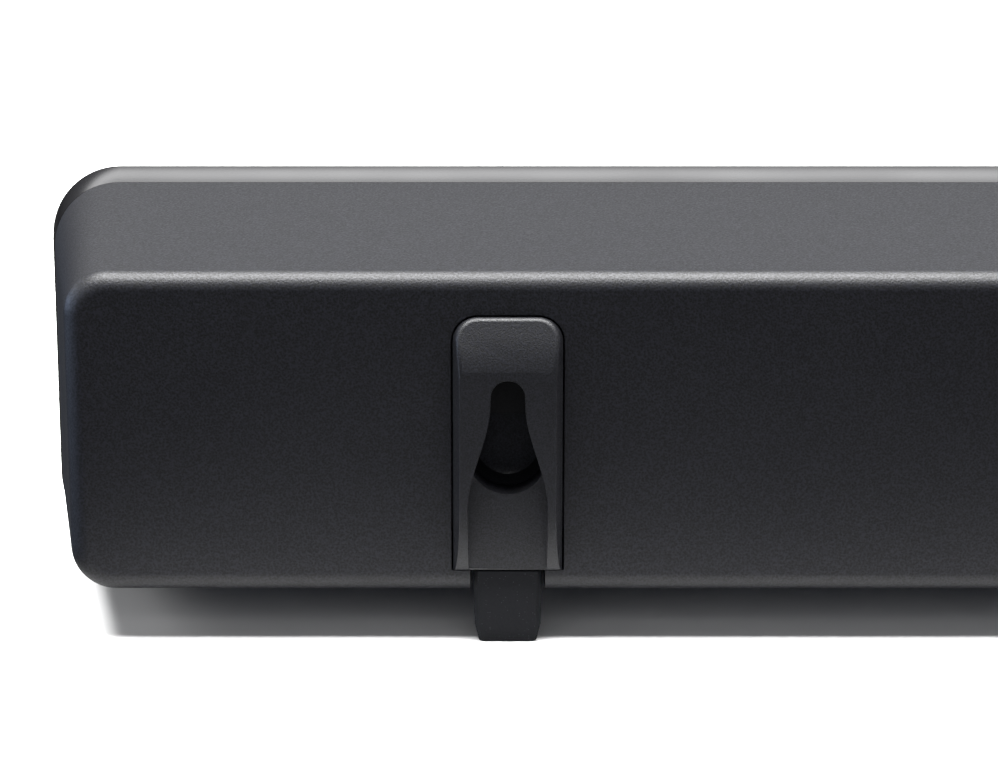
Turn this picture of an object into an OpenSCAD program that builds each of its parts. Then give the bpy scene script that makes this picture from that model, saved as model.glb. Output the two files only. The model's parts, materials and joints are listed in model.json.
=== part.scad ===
// Desk light bar: a tapered housing that stands on two fold-away rear feet and two front pads,
// or hangs on two keyhole hangers. The lit window faces -Y, the hangers face +Y, +Z is up.
// The origin is the bottom centre of the bounding box. All sizes are in millimetres.
// "s" is a distance measured forwards (towards -Y) from the flat rear face of the housing.

/* [Housing] */
// Overall length of the bar, end to end
bar_len = 456; // [440:1:500]
// Depth of the housing, from the flat rear face to the front of the bezel
housing_depth = 60.7; // [58:0.1:64]
// Height above the desk of the rear face's lower edge
rear_bottom_z = 8.6; // [8.2:0.1:9]
// Height above the desk of the rear face's upper edge
rear_top_z = 57.7; // [57:0.1:60]
// Rise of the top face per millimetre forwards
top_slope = 0.14; // [0.12:0.002:0.15]
// Fall of the bottom face per millimetre forwards
bottom_slope = 0.122; // [0.11:0.002:0.124]
// Widening of each end per millimetre forwards
side_slope = 0.188; // [0.16:0.002:0.2]
// Corner radius of the rear outline
rear_corner_r = 6.5; // [6:0.1:8]
// Corner radius of the front outline
front_corner_r = 12; // [10:0.1:14]
// Rounding between the rear face and the sides
rear_edge_r = 3; // [2:0.1:3.4]
// Wall thickness of the rear shell
wall = 2.5; // [2.2:0.1:2.8]
// Distance from the rear face to the seam between shell and bezel
seam_s = 50; // [49:0.1:51]

/* [Hangers] */
// Distance between the two keyhole hangers
hanger_spacing = 300; // [280:1:320]
// How far a hanger's wall face stands out behind the rear face
hanger_proud = 3.3; // [3:0.1:3.6]
// Width of a hanger at the rear face
hanger_w = 16.6; // [16:0.1:17]
// Width of the keyhole's slot, for the shank of a wall screw
slot_w = 5.2; // [5:0.1:5.4]
// Width of the channel below the slot, for the screw's head
channel_w = 12.2; // [11.6:0.1:12.4]

/* [Feet] */
// Width of a foot's rubber boot
boot_w = 10.6; // [10:0.1:10.8]
// Height of a boot's top edge above the desk
boot_top_z = 11.6; // [11.4:0.1:11.7]
// Diameter of a foot's hinge pin
pin_d = 2; // [1.8:0.1:2.2]

/* [Light] */
// Height of the bezel's border above and below the lit window
border = 8; // [7.8:0.1:9]
// Number of lamps in each row of one board
lamps_per_row = 14; // [8:1:14]
// Distance between neighbouring lamps
lamp_pitch = 14; // [12:0.5:14]

/* [Buttons] */
// Distance between neighbouring buttons
button_pitch = 16; // [15:0.5:17]
// Length of a pill-shaped button
pill_len = 13; // [11:0.5:13]
// Width of every button
button_w = 7.5; // [7:0.1:8]

/* [Hidden] */

rear_y = (housing_depth - hanger_proud) / 2;
rear_half_len = bar_len / 2 - side_slope * housing_depth;
front_edge_r = 0.5;
seam_gap = 0.2;
eps = 0.02;
hull_fn = 32;
round_fn = 48;

function top_z(s) = rear_top_z + top_slope * s;
function bottom_z(s) = rear_bottom_z - bottom_slope * s;
function half_len(s) = rear_half_len + side_slope * s;
function corner_r(s) = rear_corner_r + (front_corner_r - rear_corner_r) * s / housing_depth;
function mid_z(s) = (top_z(s) + bottom_z(s)) / 2;
function smooth(t) = t * t * (3 - 2 * t);

// ---------- shared shapes ----------

// Moves children so that their own y = 0 lies at distance s from the rear face.
module at_s(s) { translate([0, rear_y - s, 0]) children(); }

// Extrudes a drawing in (x, z) forwards from distance s, by depth.
module forwards(s, depth) {
    at_s(s) rotate([90, 0, 0]) linear_extrude(depth) children();
}

// Extrudes a drawing in (s, z) along x, centred on x.
module along_x(x, width) {
    translate([x + width / 2, rear_y, 0]) rotate([90, 0, -90])
        linear_extrude(width) children();
}

// A cylinder whose axis runs forwards from distance s.
module pin_y(x, z, s, r, depth) {
    translate([x, rear_y - s, z]) rotate([90, 0, 0]) cylinder(r = r, h = depth, $fn = round_fn);
}

// A cylinder along x, centred on x.
module pin_x(x, s, z, r, length) {
    translate([x - length / 2, rear_y - s, z]) rotate([0, 90, 0])
        cylinder(r = r, h = length, $fn = round_fn);
}

module rounded_rect(w, h, r) {
    square([w - 2 * r, h], center = true);
    square([w, h - 2 * r], center = true);
    for (sx = [-1, 1], sz = [-1, 1])
        translate([sx * (w / 2 - r), sz * (h / 2 - r)]) circle(r, $fn = round_fn);
}

module pill(w, h) {
    square([w - h, h], center = true);
    for (sx = [-1, 1]) translate([sx * (w - h) / 2, 0]) circle(h / 2, $fn = round_fn);
}

// Four thin discs whose hull is the housing's outline at distance s, drawn inwards by inset.
module outline_slab(s, inset) {
    r = max(1, corner_r(s) - inset);
    for (sx = [-1, 1], z = [bottom_z(s) + inset + r, top_z(s) - inset - r])
        translate([sx * (half_len(s) - inset - r), rear_y - s, z]) rotate([90, 0, 0])
            cylinder(r = r, h = eps, $fn = hull_fn);
}

// Four rings whose hull rounds the edge of an end face with radius edge_r.
// The face is at distance s_face, and the rings lie on the side given by dir (+1 forwards of it).
module edge_rings(s_face, dir, inset, edge_r) {
    s = s_face + dir * edge_r;
    ring_r = max(0.4, corner_r(s) - inset - edge_r);
    side = half_len(s) - inset - edge_r * sqrt(1 + side_slope * side_slope) - ring_r;
    top = top_z(s) - inset - edge_r * sqrt(1 + top_slope * top_slope) - ring_r;
    low = bottom_z(s) + inset + edge_r * sqrt(1 + bottom_slope * bottom_slope) + ring_r;
    for (sx = [-1, 1], z = [low, top])
        translate([sx * side, rear_y - s, z]) rotate([90, 0, 0])
            rotate_extrude($fn = hull_fn) translate([ring_r, 0]) circle(edge_r, $fn = hull_fn);
}

// Moves children onto the top face: their z = 0 is the outer surface and +z points out of it.
top_tilt = atan(top_slope);
module on_top(x, s) {
    translate([x, rear_y - s, top_z(s)]) rotate([-top_tilt, 0, 0]) children();
}

// ---------- hangers ----------

hanger_bottom_z = 12.1;
hanger_top_z = 51.2;
ramp_end_z = 43.4;     // where the upper ramp meets the wall face
curve_start_z = 23;    // where the wall face starts to curve back to the housing
hanger_lip = 0.7;      // how far the ends of the profile stand out
hanger_gap = 0.25;     // gap between a hanger and the edge of its opening
slot_top_z = 42.1;
flare_top_z = 38.5;    // the slot widens below this height
flare_low_z = 22;      // and has its full width here
bulb_z = 29.9;         // centre of the round entry in the channel's floor
bulb_r = 5.9;
plate_t = 1.8;         // thickness of the plate that the slot is cut in
floor_proud = 0.9;     // channel floor at its upper edge, behind the rear face
floor_lean = 0.035;    // the floor first leans outwards by this much per millimetre down
floor_curl = 0.0059;   // and curls back by this much per square millimetre
pocket_s = 5.2;        // back wall of the keyhole's pocket
flange_w = 19.8;
flange_z = [17.6, 53];
flange_t = 2;
cup_w = 31.6;
cup_t = 2.4;
cup_post_x = 13;
cup_post_z = [21.5, 49];
cup_post_r = 2.8;

// Profile of a hanger in (s, z): ramp, flat wall face, then an arc back to the housing.
function curve_back(p0, p1) = [for (i = [0:8]) let(t = i / 8)
    [-(p0 + (p1 - p0) * (1 - sqrt(1 - t * t * 0.96)) / (1 - sqrt(0.04))),
     curve_start_z + (hanger_bottom_z - curve_start_z) * t]];

module hanger_profile() {
    polygon(concat(
        [[flange_t, hanger_top_z], [-hanger_lip, hanger_top_z], [-hanger_proud, ramp_end_z]],
        curve_back(hanger_proud, hanger_lip),
        [[flange_t, hanger_bottom_z]]
    ));
}

// The keyhole's outline: a slot that flares into the channel.
function flare_side(side) = [for (i = [0:12]) let(t = i / 12)
    [side * (slot_w + (channel_w - slot_w) * smooth(t)) / 2,
     flare_top_z + (flare_low_z - flare_top_z) * t]];
function reversed(list) = [for (i = [len(list) - 1:-1:0]) list[i]];

// The channel's floor in (s, z), from the round entry down to the hanger's lower end.
function channel_floor() = [for (i = [0:8]) let(drop = i / 8 * (bulb_z - hanger_bottom_z + 1))
    [-floor_proud - floor_lean * drop + floor_curl * drop * drop, bulb_z - drop]];

module keyhole_outline() {
    translate([0, slot_top_z - slot_w / 2]) circle(slot_w / 2, $fn = round_fn);
    polygon(concat(
        [[-slot_w / 2, slot_top_z - slot_w / 2]], flare_side(-1),
        [[-channel_w / 2 + 0.2, hanger_bottom_z - 1], [channel_w / 2 - 0.2, hanger_bottom_z - 1]],
        reversed(flare_side(1)), [[slot_w / 2, slot_top_z - slot_w / 2]]
    ));
}

// Space behind the slotted plate for the screw's head.
module head_pocket_outline() {
    head_r = bulb_r - 1.4;
    translate([0, bulb_z]) circle(bulb_r, $fn = round_fn);
    translate([-head_r, bulb_z]) square([2 * head_r, slot_top_z - bulb_z - 2]);
    translate([0, slot_top_z - 2]) circle(head_r - eps, $fn = round_fn);
}

// Outline of a hanger at the rear face, with two round upper corners.
module hanger_outline(grow, corner) {
    w = hanger_w + 2 * grow;
    top = hanger_top_z + grow;
    low = hanger_bottom_z - grow;
    translate([-w / 2, low]) square([w, top - low - corner]);
    translate([-w / 2 + corner, low]) square([w - 2 * corner, top - low]);
    for (sx = [-1, 1]) translate([sx * (w / 2 - corner), top - corner]) circle(corner, $fn = round_fn);
}

module hanger_draft() {
    draft = 1;
    hull() {
        at_s(flange_t) rotate([90, 0, 0]) linear_extrude(eps) hanger_outline(0, 3.8);
        at_s(0) rotate([90, 0, 0]) linear_extrude(eps) hanger_outline(0, 3.8);
        at_s(-hanger_proud) rotate([90, 0, 0]) linear_extrude(eps)
            hanger_outline(-draft, 2.8);
        at_s(-hanger_proud) translate([0, 0, -draft]) rotate([90, 0, 0]) linear_extrude(eps)
            hanger_outline(-draft, 2.8);
    }
}

module hanger(x) {
    color([0.13, 0.13, 0.15]) translate([x, 0, 0]) difference() {
        union() {
            intersection() {
                along_x(0, hanger_w) hanger_profile();
                hanger_draft();
            }
            forwards(flange_t, wall - flange_t + eps) hanger_outline(0, 3.8);
            forwards(wall, flange_t) translate([0, (flange_z[0] + flange_z[1]) / 2])
                square([flange_w, flange_z[1] - flange_z[0]], center = true);
        }
        // slot through the plate, and the channel down to its floor
        forwards(-hanger_proud - 1, plate_t + 1) keyhole_outline();
        intersection() {
            forwards(-hanger_proud - 1, hanger_proud + 3) keyhole_outline();
            along_x(0, 2 * channel_w) polygon(concat(
                [[-hanger_proud - 2, bulb_z]], channel_floor(),
                [[-hanger_proud - 2, hanger_bottom_z - 1]]
            ));
        }
        // pocket for the screw's head, open towards the inside of the housing
        forwards(plate_t - hanger_proud, hanger_proud + wall + flange_t) head_pocket_outline();
    }
}

module hanger_cup(x) {
    bowl = pocket_s - wall - flange_t;
    color([0.1, 0.1, 0.11]) translate([x, 0, 0]) difference() {
        forwards(wall + flange_t, cup_t) translate([0, (flange_z[0] + flange_z[1]) / 2])
            rounded_rect(cup_w, flange_z[1] - flange_z[0], 3);
        forwards(wall + flange_t - eps, bowl + eps) head_pocket_outline();
        for (sx = [-1, 1], z = cup_post_z) pin_y(sx * cup_post_x, z, 4, 1.4, 5);
    }
}

// ---------- screws ----------

// A pan-head screw pointing back along +Y, with its head's seat at distance s.
module pan_screw(x, z, s, r, length, head_r, head_h) {
    translate([x, rear_y - s, z]) rotate([90, 0, 0]) difference() {
        union() {
            cylinder(r = head_r, h = head_h, $fn = round_fn);
            translate([0, 0, -length]) cylinder(r = r, h = length + eps, $fn = round_fn);
        }
        translate([0, 0, head_h * 0.4]) linear_extrude(head_h) {
            square([head_r * 1.2, head_r * 0.3], center = true);
            square([head_r * 0.3, head_r * 1.2], center = true);
        }
    }
}

module hanger_screws() {
    color("silver") for (x = hanger_x, sx = [-1, 1], z = cup_post_z)
        pan_screw(x + sx * cup_post_x, z, wall + flange_t + cup_t, 1.2, 5.4, 2.4, 1.6);
}

// ---------- feet ----------

hanger_x = [-hanger_spacing / 2, hanger_spacing / 2];
pocket_w = 11.5;
pocket_wall = 2.5;
pocket_ceiling = 15.5;
pocket_depth = 19.4;
notch_top_z = hanger_bottom_z - 0.1;
hinge_s = 6;
hinge_z = 12.5;
knuckle_r = 2.5;
knuckle_gap = 0.05;         // between the leg's knuckle and the boot's hollow for it
pin_gap = 0.04;             // between the pin and the leg's bore
boot_s = 3.5;               // middle of a boot
boot_t = 6;
boot_edge_r = 0.8;
boot_bevel_z = 2.9;         // the boot narrows below this height
leg_t = 2.6;                // the leg's blade inside its boot
leg_half_w = 3.4;
leg_z = [2.8, 11.5];
leg_s = 5.5;                // front face of the blade

module leg_blade(x) {
    at_s(leg_s) translate([x - leg_half_w, 0, leg_z[0]])
        cube([2 * leg_half_w, leg_t, leg_z[1] - leg_z[0]]);
}

module foot_leg(x) {
    color([0.12, 0.12, 0.13]) difference() {
        union() {
            pin_x(x, hinge_s, hinge_z, knuckle_r, boot_w - 0.4);
            leg_blade(x);
        }
        pin_x(x, hinge_s, hinge_z, pin_d / 2 + pin_gap, boot_w + 2);
    }
}

// One level of a boot, drawn in from its full size by inset.
module boot_level(x, z, inset) {
    translate([x, rear_y - boot_s, z]) linear_extrude(eps)
        rounded_rect(boot_w - 2 * inset, boot_t - 2 * inset, boot_edge_r);
}

module foot_boot(x) {
    color([0.1, 0.1, 0.11]) difference() {
        hull() {
            boot_level(x, 0, 0.9);
            boot_level(x, boot_bevel_z, 0.2);
            boot_level(x, boot_top_z - eps, 0);
        }
        pin_x(x, hinge_s, hinge_z, knuckle_r + knuckle_gap, boot_w + 2);
        leg_blade(x);
    }
}

module foot_pin(x) {
    color("silver") pin_x(x, hinge_s, hinge_z, pin_d / 2, pocket_w + 2 * pocket_wall);
}

// Block moulded inside the shell around a foot's pocket.
module foot_pocket_block(x) {
    w = pocket_w + 2 * pocket_wall;
    translate([x - w / 2, rear_y - pocket_depth - 1.8, bottom_z(pocket_depth) - 0.5])
        cube([w, pocket_depth + 1.8 - 1, pocket_ceiling + 1.7 - bottom_z(pocket_depth) + 0.5]);
}

module foot_pocket_space(x) {
    translate([x - pocket_w / 2, rear_y - pocket_depth, -1])
        cube([pocket_w, pocket_depth + 1, notch_top_z + 1]);
    translate([x - pocket_w / 2, rear_y - pocket_depth, -1])
        cube([pocket_w, pocket_depth - wall - 0.7, pocket_ceiling + 1]);
    pin_x(x, hinge_s, hinge_z, pin_d / 2, pocket_w + 2 * pocket_wall);
}

// ---------- rear shell ----------

post_s = 30.4;               // front ends of the posts that carry the heat spreader
post_r = 3.5;
spreader_post_x = [-200, -100, 100, 200];
spreader_post_z = [18.5, 47.5];
board_s = 9;                 // rear face of the driver board
board_post_x = 54;
board_post_z = [20, 46];
button_s = 22;
button_count = 4;
button_board_w = 92;
button_post_x = 41;
switch_top = 4.55;           // depth of the switches' tops below the top face
board_depth = 6.05;          // depth of the button board's upper side
pipe_x = -34.5;
inlet_z = 33;
lug_s = 46;
lug_x = [-190, -65, 65, 190];
pad_s = [41, 49];
pad_w = 24;

function button_x(i) = (i - (button_count - 1) / 2) * button_pitch;

module outer_body() {
    hull() {
        edge_rings(0, 1, 0, rear_edge_r);
        outline_slab(seam_s - eps, 0);
    }
}

module inner_space() {
    hull() {
        edge_rings(wall, 1, wall, 1);
        outline_slab(seam_s + 1, wall);
    }
}

// The outline of one button, grown all round. The first one is round.
module button_outline(i, grow) {
    if (i == 0) circle(button_w / 2 + grow, $fn = round_fn);
    else pill(pill_len + 2 * grow, button_w + 2 * grow);
}

module rear_shell() {
    color([0.1, 0.1, 0.11]) difference() {
        union() {
            difference() {
                outer_body();
                inner_space();
            }
            intersection() {
                outer_body();
                union() {
                    for (x = hanger_x) foot_pocket_block(x);
                    for (x = hanger_x, sx = [-1, 1], z = cup_post_z)
                        pin_y(x + sx * cup_post_x, z, wall - 0.5, cup_post_r, flange_t + 0.5);
                    for (x = spreader_post_x, z = spreader_post_z)
                        pin_y(x, z, wall - 0.5, post_r, post_s - wall + 0.5);
                    for (sx = [-1, 1], z = board_post_z)
                        pin_y(sx * board_post_x, z, wall - 0.5, 3, board_s - wall + 0.5);
                    for (sx = [-1, 1]) on_top(sx * button_post_x, button_s)
                        translate([0, 0, -board_depth])
                            cylinder(r = 2.6, h = board_depth - 1, $fn = round_fn);
                }
            }
        }
        for (x = hanger_x) {
            translate([x, 0, 0]) forwards(-1, wall + 1 + eps) hanger_outline(hanger_gap, 3.8 + hanger_gap);
            foot_pocket_space(x);
            for (sx = [-1, 1], z = cup_post_z) pin_y(x + sx * cup_post_x, z, 1.2, 1.2, 5);
        }
        for (x = spreader_post_x, z = spreader_post_z) pin_y(x, z, post_s - 9, 1.25, 10);
        for (sx = [-1, 1], z = board_post_z) pin_y(sx * board_post_x, z, 3, 1, 7);
        for (sx = [-1, 1]) on_top(sx * button_post_x, button_s)
            translate([0, 0, -board_depth - 1]) cylinder(r = 0.8, h = 5, $fn = round_fn);
        // openings in the top face
        for (i = [0:button_count - 1]) on_top(button_x(i), button_s)
            translate([0, 0, -wall - 1]) linear_extrude(wall + 2) button_outline(i, cap_gap);
        on_top(pipe_x, button_s) translate([0, 0, -wall - 1])
            cylinder(r = 1.05, h = wall + 2, $fn = round_fn);
        // power inlet: a shallow dish and the port's opening
        translate([0, 0, inlet_z]) {
            forwards(-1, 1.6) pill(16, 9);
            forwards(-1, wall + 2) pill(9.6, 3.9);
        }
        // countersunk holes for the housing screws
        for (x = lug_x) translate([x, rear_y - lug_s, 0]) {
            translate([0, 0, -1]) cylinder(r = 1.5, h = 9, $fn = round_fn);
            translate([0, 0, -1]) cylinder(r = 3, h = 1 + bottom_z(lug_s) + 1.1, $fn = round_fn);
        }
    }
}

// ---------- front bezel, trim, diffuser and reflector ----------

trim_t = 1.2;
bezel_end_s = housing_depth - trim_t;
lip_t = 1.6;
lip_s = bezel_end_s - lip_t;
front_h = top_z(housing_depth) - bottom_z(housing_depth);
front_mid_z = mid_z(housing_depth);
window = [bar_len - 2 * border - 2, front_h - 2 * border];
window_r = 6;
diffuser_t = 1.7;
rebate = 1.6;               // how far the diffuser's flange reaches past the window
gasket_t = 1;
flange_s = lip_s - diffuser_t - gasket_t - 1.2;
tongue_s = 46.6;
lug_half_w = 5;
lug_top_z = 9;

module window_drawing(grow) {
    translate([0, front_mid_z]) rounded_rect(window[0] + 2 * grow, window[1] + 2 * grow, window_r + grow);
}

// Screw lugs inside the bezel's lower edge, grown sideways by gap.
module lugs(gap) {
    low = wall + 0.1;
    for (x = lug_x) along_x(x, 2 * (lug_half_w + gap)) polygon([
        [lug_s - 3, bottom_z(lug_s - 3) + low], [seam_s + 1, bottom_z(seam_s + 1) + low],
        [seam_s + 1, lug_top_z + gap], [lug_s - 3, lug_top_z + gap]
    ]);
}

// Removes what would not pass the lugs when a flange is pushed in from behind.
module lug_notches() {
    for (x = lug_x) forwards(flange_s - 1, lip_s - flange_s + 1) translate([x, lug_top_z / 2])
        square([2 * lug_half_w + 0.6, lug_top_z + 0.3], center = true);
}

module front_bezel() {
    color([0.03, 0.03, 0.035]) difference() {
        union() {
            difference() {
                union() {
                    hull() {
                        outline_slab(seam_s + seam_gap, 0);
                        outline_slab(bezel_end_s - eps, 0);
                    }
                    // tongue that slips inside the shell
                    hull() {
                        outline_slab(tongue_s, wall + 0.2);
                        outline_slab(seam_s + 1, wall + 0.2);
                    }
                }
                forwards(seam_s - 10, housing_depth - seam_s + 20) window_drawing(0);
                // seat of the diffuser, its gasket and the reflector's rim
                forwards(seam_s - 10, lip_s - seam_s + 10) window_drawing(rebate + 0.2);
            }
            lugs(0);
        }
        for (x = lug_x) translate([x, rear_y - lug_s, bottom_z(lug_s)])
            cylinder(r = 1.25, h = 9.5, $fn = round_fn);
    }
}

// Frame on the bezel's front face, with the rounded front edge.
module front_trim() {
    color([0.07, 0.07, 0.075]) difference() {
        hull() {
            outline_slab(bezel_end_s, 0);
            edge_rings(housing_depth, -1, 0, front_edge_r);
        }
        forwards(bezel_end_s - 1, trim_t + 2) window_drawing(0.6);
    }
}

module diffuser() {
    color([0.95, 0.95, 0.93]) {
        difference() {
            forwards(lip_s - diffuser_t, diffuser_t) window_drawing(rebate);
            lug_notches();
        }
        forwards(lip_s - eps, lip_t + trim_t - 0.5) window_drawing(-0.15);
    }
}

module diffuser_gasket() {
    color([0.15, 0.15, 0.15]) forwards(lip_s - diffuser_t - gasket_t, gasket_t) difference() {
        window_drawing(rebate);
        window_drawing(-0.5);
        for (x = lug_x) translate([x, lug_top_z / 2])
            square([2 * lug_half_w + 0.6, lug_top_z + 0.3], center = true);
    }
}

tray_base_s = 35.2;
tray_base = [424, 30];
tray_t = 1.2;
lamp_row_z = 6;
lamp_window = [198, 16];
led_board = [204, 20, 1.6];

module tray_body(inset) {
    hull() {
        forwards(flange_s + 1.2 - eps, eps) window_drawing(-0.5 - inset);
        forwards(tray_base_s + inset, eps) translate([0, inlet_z])
            rounded_rect(tray_base[0] - 2 * inset, tray_base[1] - 2 * inset, 3);
    }
}

module reflector_tray() {
    color([0.94, 0.94, 0.92]) difference() {
        union() {
            tray_body(0);
            forwards(flange_s, 1.2) window_drawing(rebate);
            for (x = [-150, 150], dz = [-12.5, 12.5]) pin_y(x, inlet_z + dz, spreader_s + spreader_t, 2, 3);
        }
        tray_body(tray_t);
        forwards(flange_s, 3) window_drawing(-0.5 - tray_t);
        lug_notches();
        for (x = board_x) forwards(tray_base_s - 1, tray_t + 2) translate([x, inlet_z])
            square(lamp_window, center = true);
    }
}

// ---------- lamps and heat spreader ----------

spreader_s = post_s;
spreader_t = 2;
spreader = [424, 36];
thermal_t = 0.5;
led_s = spreader_s + spreader_t + thermal_t;
board_x = [-105, 105];
lamp = [3.5, 2.8, 0.8];
led_screw_x = [-91, 0, 91];

module led_plate(x) {
    color([0.93, 0.93, 0.9]) difference() {
        forwards(led_s, led_board[2]) translate([x, inlet_z])
            square([led_board[0], led_board[1]], center = true);
        for (dx = led_screw_x) pin_y(x + dx, inlet_z, led_s - 1, 1.6, 4);
    }
}

module lamp_row(row) {
    for (x = board_x, i = [0:lamps_per_row - 1])
        forwards(led_s + led_board[2], lamp[2])
            translate([x + (i - (lamps_per_row - 1) / 2) * lamp_pitch, inlet_z + row * lamp_row_z])
                square([lamp[0], lamp[1]], center = true);
}

module warm_leds() {
    color([1, 0.8, 0.4]) lamp_row(1);
}

module cool_leds() {
    color([1, 0.95, 0.6]) lamp_row(-1);
}

module thermal_pads() {
    color([0.6, 0.65, 0.7]) for (x = board_x) difference() {
        forwards(led_s - thermal_t, thermal_t) translate([x, inlet_z])
            square([led_board[0] - 2, led_board[1] - 1], center = true);
        for (dx = led_screw_x) pin_y(x + dx, inlet_z, led_s - 2, 2, 4);
    }
}

module heat_spreader() {
    color([0.8, 0.81, 0.83]) difference() {
        union() {
            forwards(spreader_s, spreader_t) translate([0, inlet_z]) square(spreader, center = true);
            for (sz = [-1, 1]) forwards(spreader_s - 7, 7 + eps)
                translate([0, inlet_z + sz * (spreader[1] / 2 - spreader_t / 2)])
                    square([180, spreader_t], center = true);
        }
        for (x = spreader_post_x, z = spreader_post_z) pin_y(x, z, spreader_s - 1, 1.7, 4);
        for (x = board_x, dx = led_screw_x) pin_y(x + dx, inlet_z, spreader_s - 1, 1.25, 4);
        forwards(spreader_s - 1, 4) translate([0, inlet_z + led_plug_z]) pill(16, 9);
    }
}

module spreader_screws() {
    color("silver") for (x = spreader_post_x, z = spreader_post_z)
        pan_screw(x, z, spreader_s + spreader_t, 1.25, 8, 2.6, 1.8);
}

module led_board_screws() {
    color("silver") for (x = board_x, dx = led_screw_x)
        pan_screw(x + dx, inlet_z, led_s + led_board[2], 1.25, 3.9, 2.4, 1.4);
}

module housing_screws() {
    color([0.2, 0.2, 0.2]) for (x = lug_x) translate([x, rear_y - lug_s, bottom_z(lug_s) + 1.1])
        difference() {
            union() {
                translate([0, 0, -1.5]) cylinder(r = 2.7, h = 1.5, $fn = round_fn);
                cylinder(r = 1.25, h = 4.8, $fn = round_fn);
            }
            translate([0, 0, -1.6]) linear_extrude(0.9) {
                square([3.2, 0.8], center = true);
                square([0.8, 3.2], center = true);
            }
        }
}

// ---------- driver electronics ----------

driver = [120, 32, 1.6];
driver_front = board_s + driver[2];

module driver_board() {
    color([0.05, 0.3, 0.15]) difference() {
        forwards(board_s, driver[2]) translate([0, inlet_z]) rounded_rect(driver[0], driver[1], 2);
        for (sx = [-1, 1], z = board_post_z) pin_y(sx * board_post_x, z, board_s - 1, 1.3, 4);
    }
}

// A box standing on the front of the driver board: centre x, z, then width, height and thickness.
module on_driver(x, z, size) {
    forwards(driver_front, size[2]) translate([x, inlet_z + z]) square([size[0], size[1]], center = true);
}

module driver_chips() {
    color([0.08, 0.08, 0.08]) {
        on_driver(-6, 2, [7, 7, 1]);
        on_driver(30, 6, [5, 6, 1.5]);
        on_driver(-30, -7, [5, 6, 1.5]);
        for (i = [0:4]) on_driver(-2 + i * 4, -9, [2, 1.2, 0.8]);
        for (i = [0:3]) on_driver(22 + i * 4, -10, [2, 1.2, 0.8]);
    }
}

module driver_capacitors() {
    color([0.2, 0.2, 0.25]) for (x = [-44, -34]) pin_y(x, inlet_z + 7, driver_front, 4, 10.5);
    color([0.2, 0.2, 0.25]) pin_y(37, inlet_z - 5, driver_front, 4, 10.5);
}

module driver_inductors() {
    color([0.35, 0.3, 0.28]) for (x = [-20, 16]) union() {
        pin_y(x, inlet_z + 5, driver_front, 4.6, 1.2);
        pin_y(x, inlet_z + 5, driver_front, 3.4, 6);
        pin_y(x, inlet_z + 5, driver_front + 5.2, 4.6, 1.2);
    }
}

lead_w = 5;
led_plug_x = 47;
led_plug_z = -8;
ribbon_x = 33;
ribbon_w = 6;

module driver_connectors() {
    color([0.92, 0.9, 0.84]) {
        for (sx = [-1, 1]) on_driver(sx * led_plug_x, led_plug_z, [7.5, 6, 7]);
        on_driver(ribbon_x, 12.5, [9, 5, 4]);
    }
}

module driver_screws() {
    color("silver") for (sx = [-1, 1], z = board_post_z)
        pan_screw(sx * board_post_x, z, driver_front, 1.0, 6.5, 2.2, 1.5);
}

// A thin strip that follows a path in its own plane.
function normal(a, b) = let(d = b - a) [-d[1], d[0]] / norm(d);
function shifted(path, d) = let(last = len(path) - 1) [for (i = [0:last])
    let(n = normal(path[max(i - 1, 0)], path[max(i, 1)])
        + normal(path[min(i, last - 1)], path[min(i + 1, last)]))
    path[i] + n * d * 2 / (n * n)];

module strip(path, t) {
    polygon(concat(shifted(path, t / 2), reversed(shifted(path, -t / 2))));
}

// Each flat lead runs from its plug on the driver board, through the spreader's slot, to its lamp board.
module led_leads() {
    color([0.85, 0.85, 0.8]) for (sx = [-1, 1])
        translate([0, rear_y, inlet_z + led_plug_z - lead_w / 2]) mirror([sx < 0 ? 1 : 0, 0, 0])
            linear_extrude(lead_w) strip([
                [led_plug_x, -driver_front - 7.02],
                [led_plug_x, -driver_front - 9],
                [led_plug_x - 4, -driver_front - 13],
                [8, -driver_front - 15],
                [2.1, -led_s + 3],
                [2.1, -led_s - led_board[2] - 0.2],
                [5.6, -led_s - led_board[2] - 0.2]
            ], 0.3);
}

module button_ribbon() {
    low_s = driver_front + 4.02;
    low_z = inlet_z + 12.5;
    high_s = 17.5;
    color([0.9, 0.9, 0.92]) along_x(ribbon_x, ribbon_w) strip([
        [low_s, low_z], [low_s + 2, low_z], [high_s, low_z + 3],
        [high_s, top_z(high_s) - board_depth - 1.3]
    ], 0.3);
}

// ---------- power inlet ----------

module usb_c_shell() {
    color("silver") translate([0, 0, inlet_z]) difference() {
        forwards(0.9, board_s - 0.9) pill(8.94, 3.26);
        forwards(0, board_s - 1) pill(8.34, 2.56);
    }
}

module usb_c_tongue() {
    color([0.1, 0.1, 0.1]) translate([0, 0, inlet_z]) {
        forwards(2, board_s - 3) pill(6.7, 0.7);
    }
}

// ---------- buttons ----------

cap_flange_t = 0.8;
cap_flange_gap = 0.06;      // between the cap's flange and the shell above it
cap_proud = 0.5;
cap_gap = 0.2;              // between a cap and the edge of its opening
stem_r = 1.2;
stem_gap = 0.08;            // between a stem and its switch
stem_top = 4.05;
stem_low = 5.3;

module button_board() {
    color([0.05, 0.3, 0.15]) on_top(0, button_s) translate([0, 0, -board_depth - 1.2]) difference() {
        translate([-button_board_w / 2, -6.5, 0]) cube([button_board_w, 13, 1.2]);
        for (sx = [-1, 1]) translate([sx * button_post_x, 0, -1]) cylinder(r = 1.1, h = 4, $fn = round_fn);
    }
}

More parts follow.
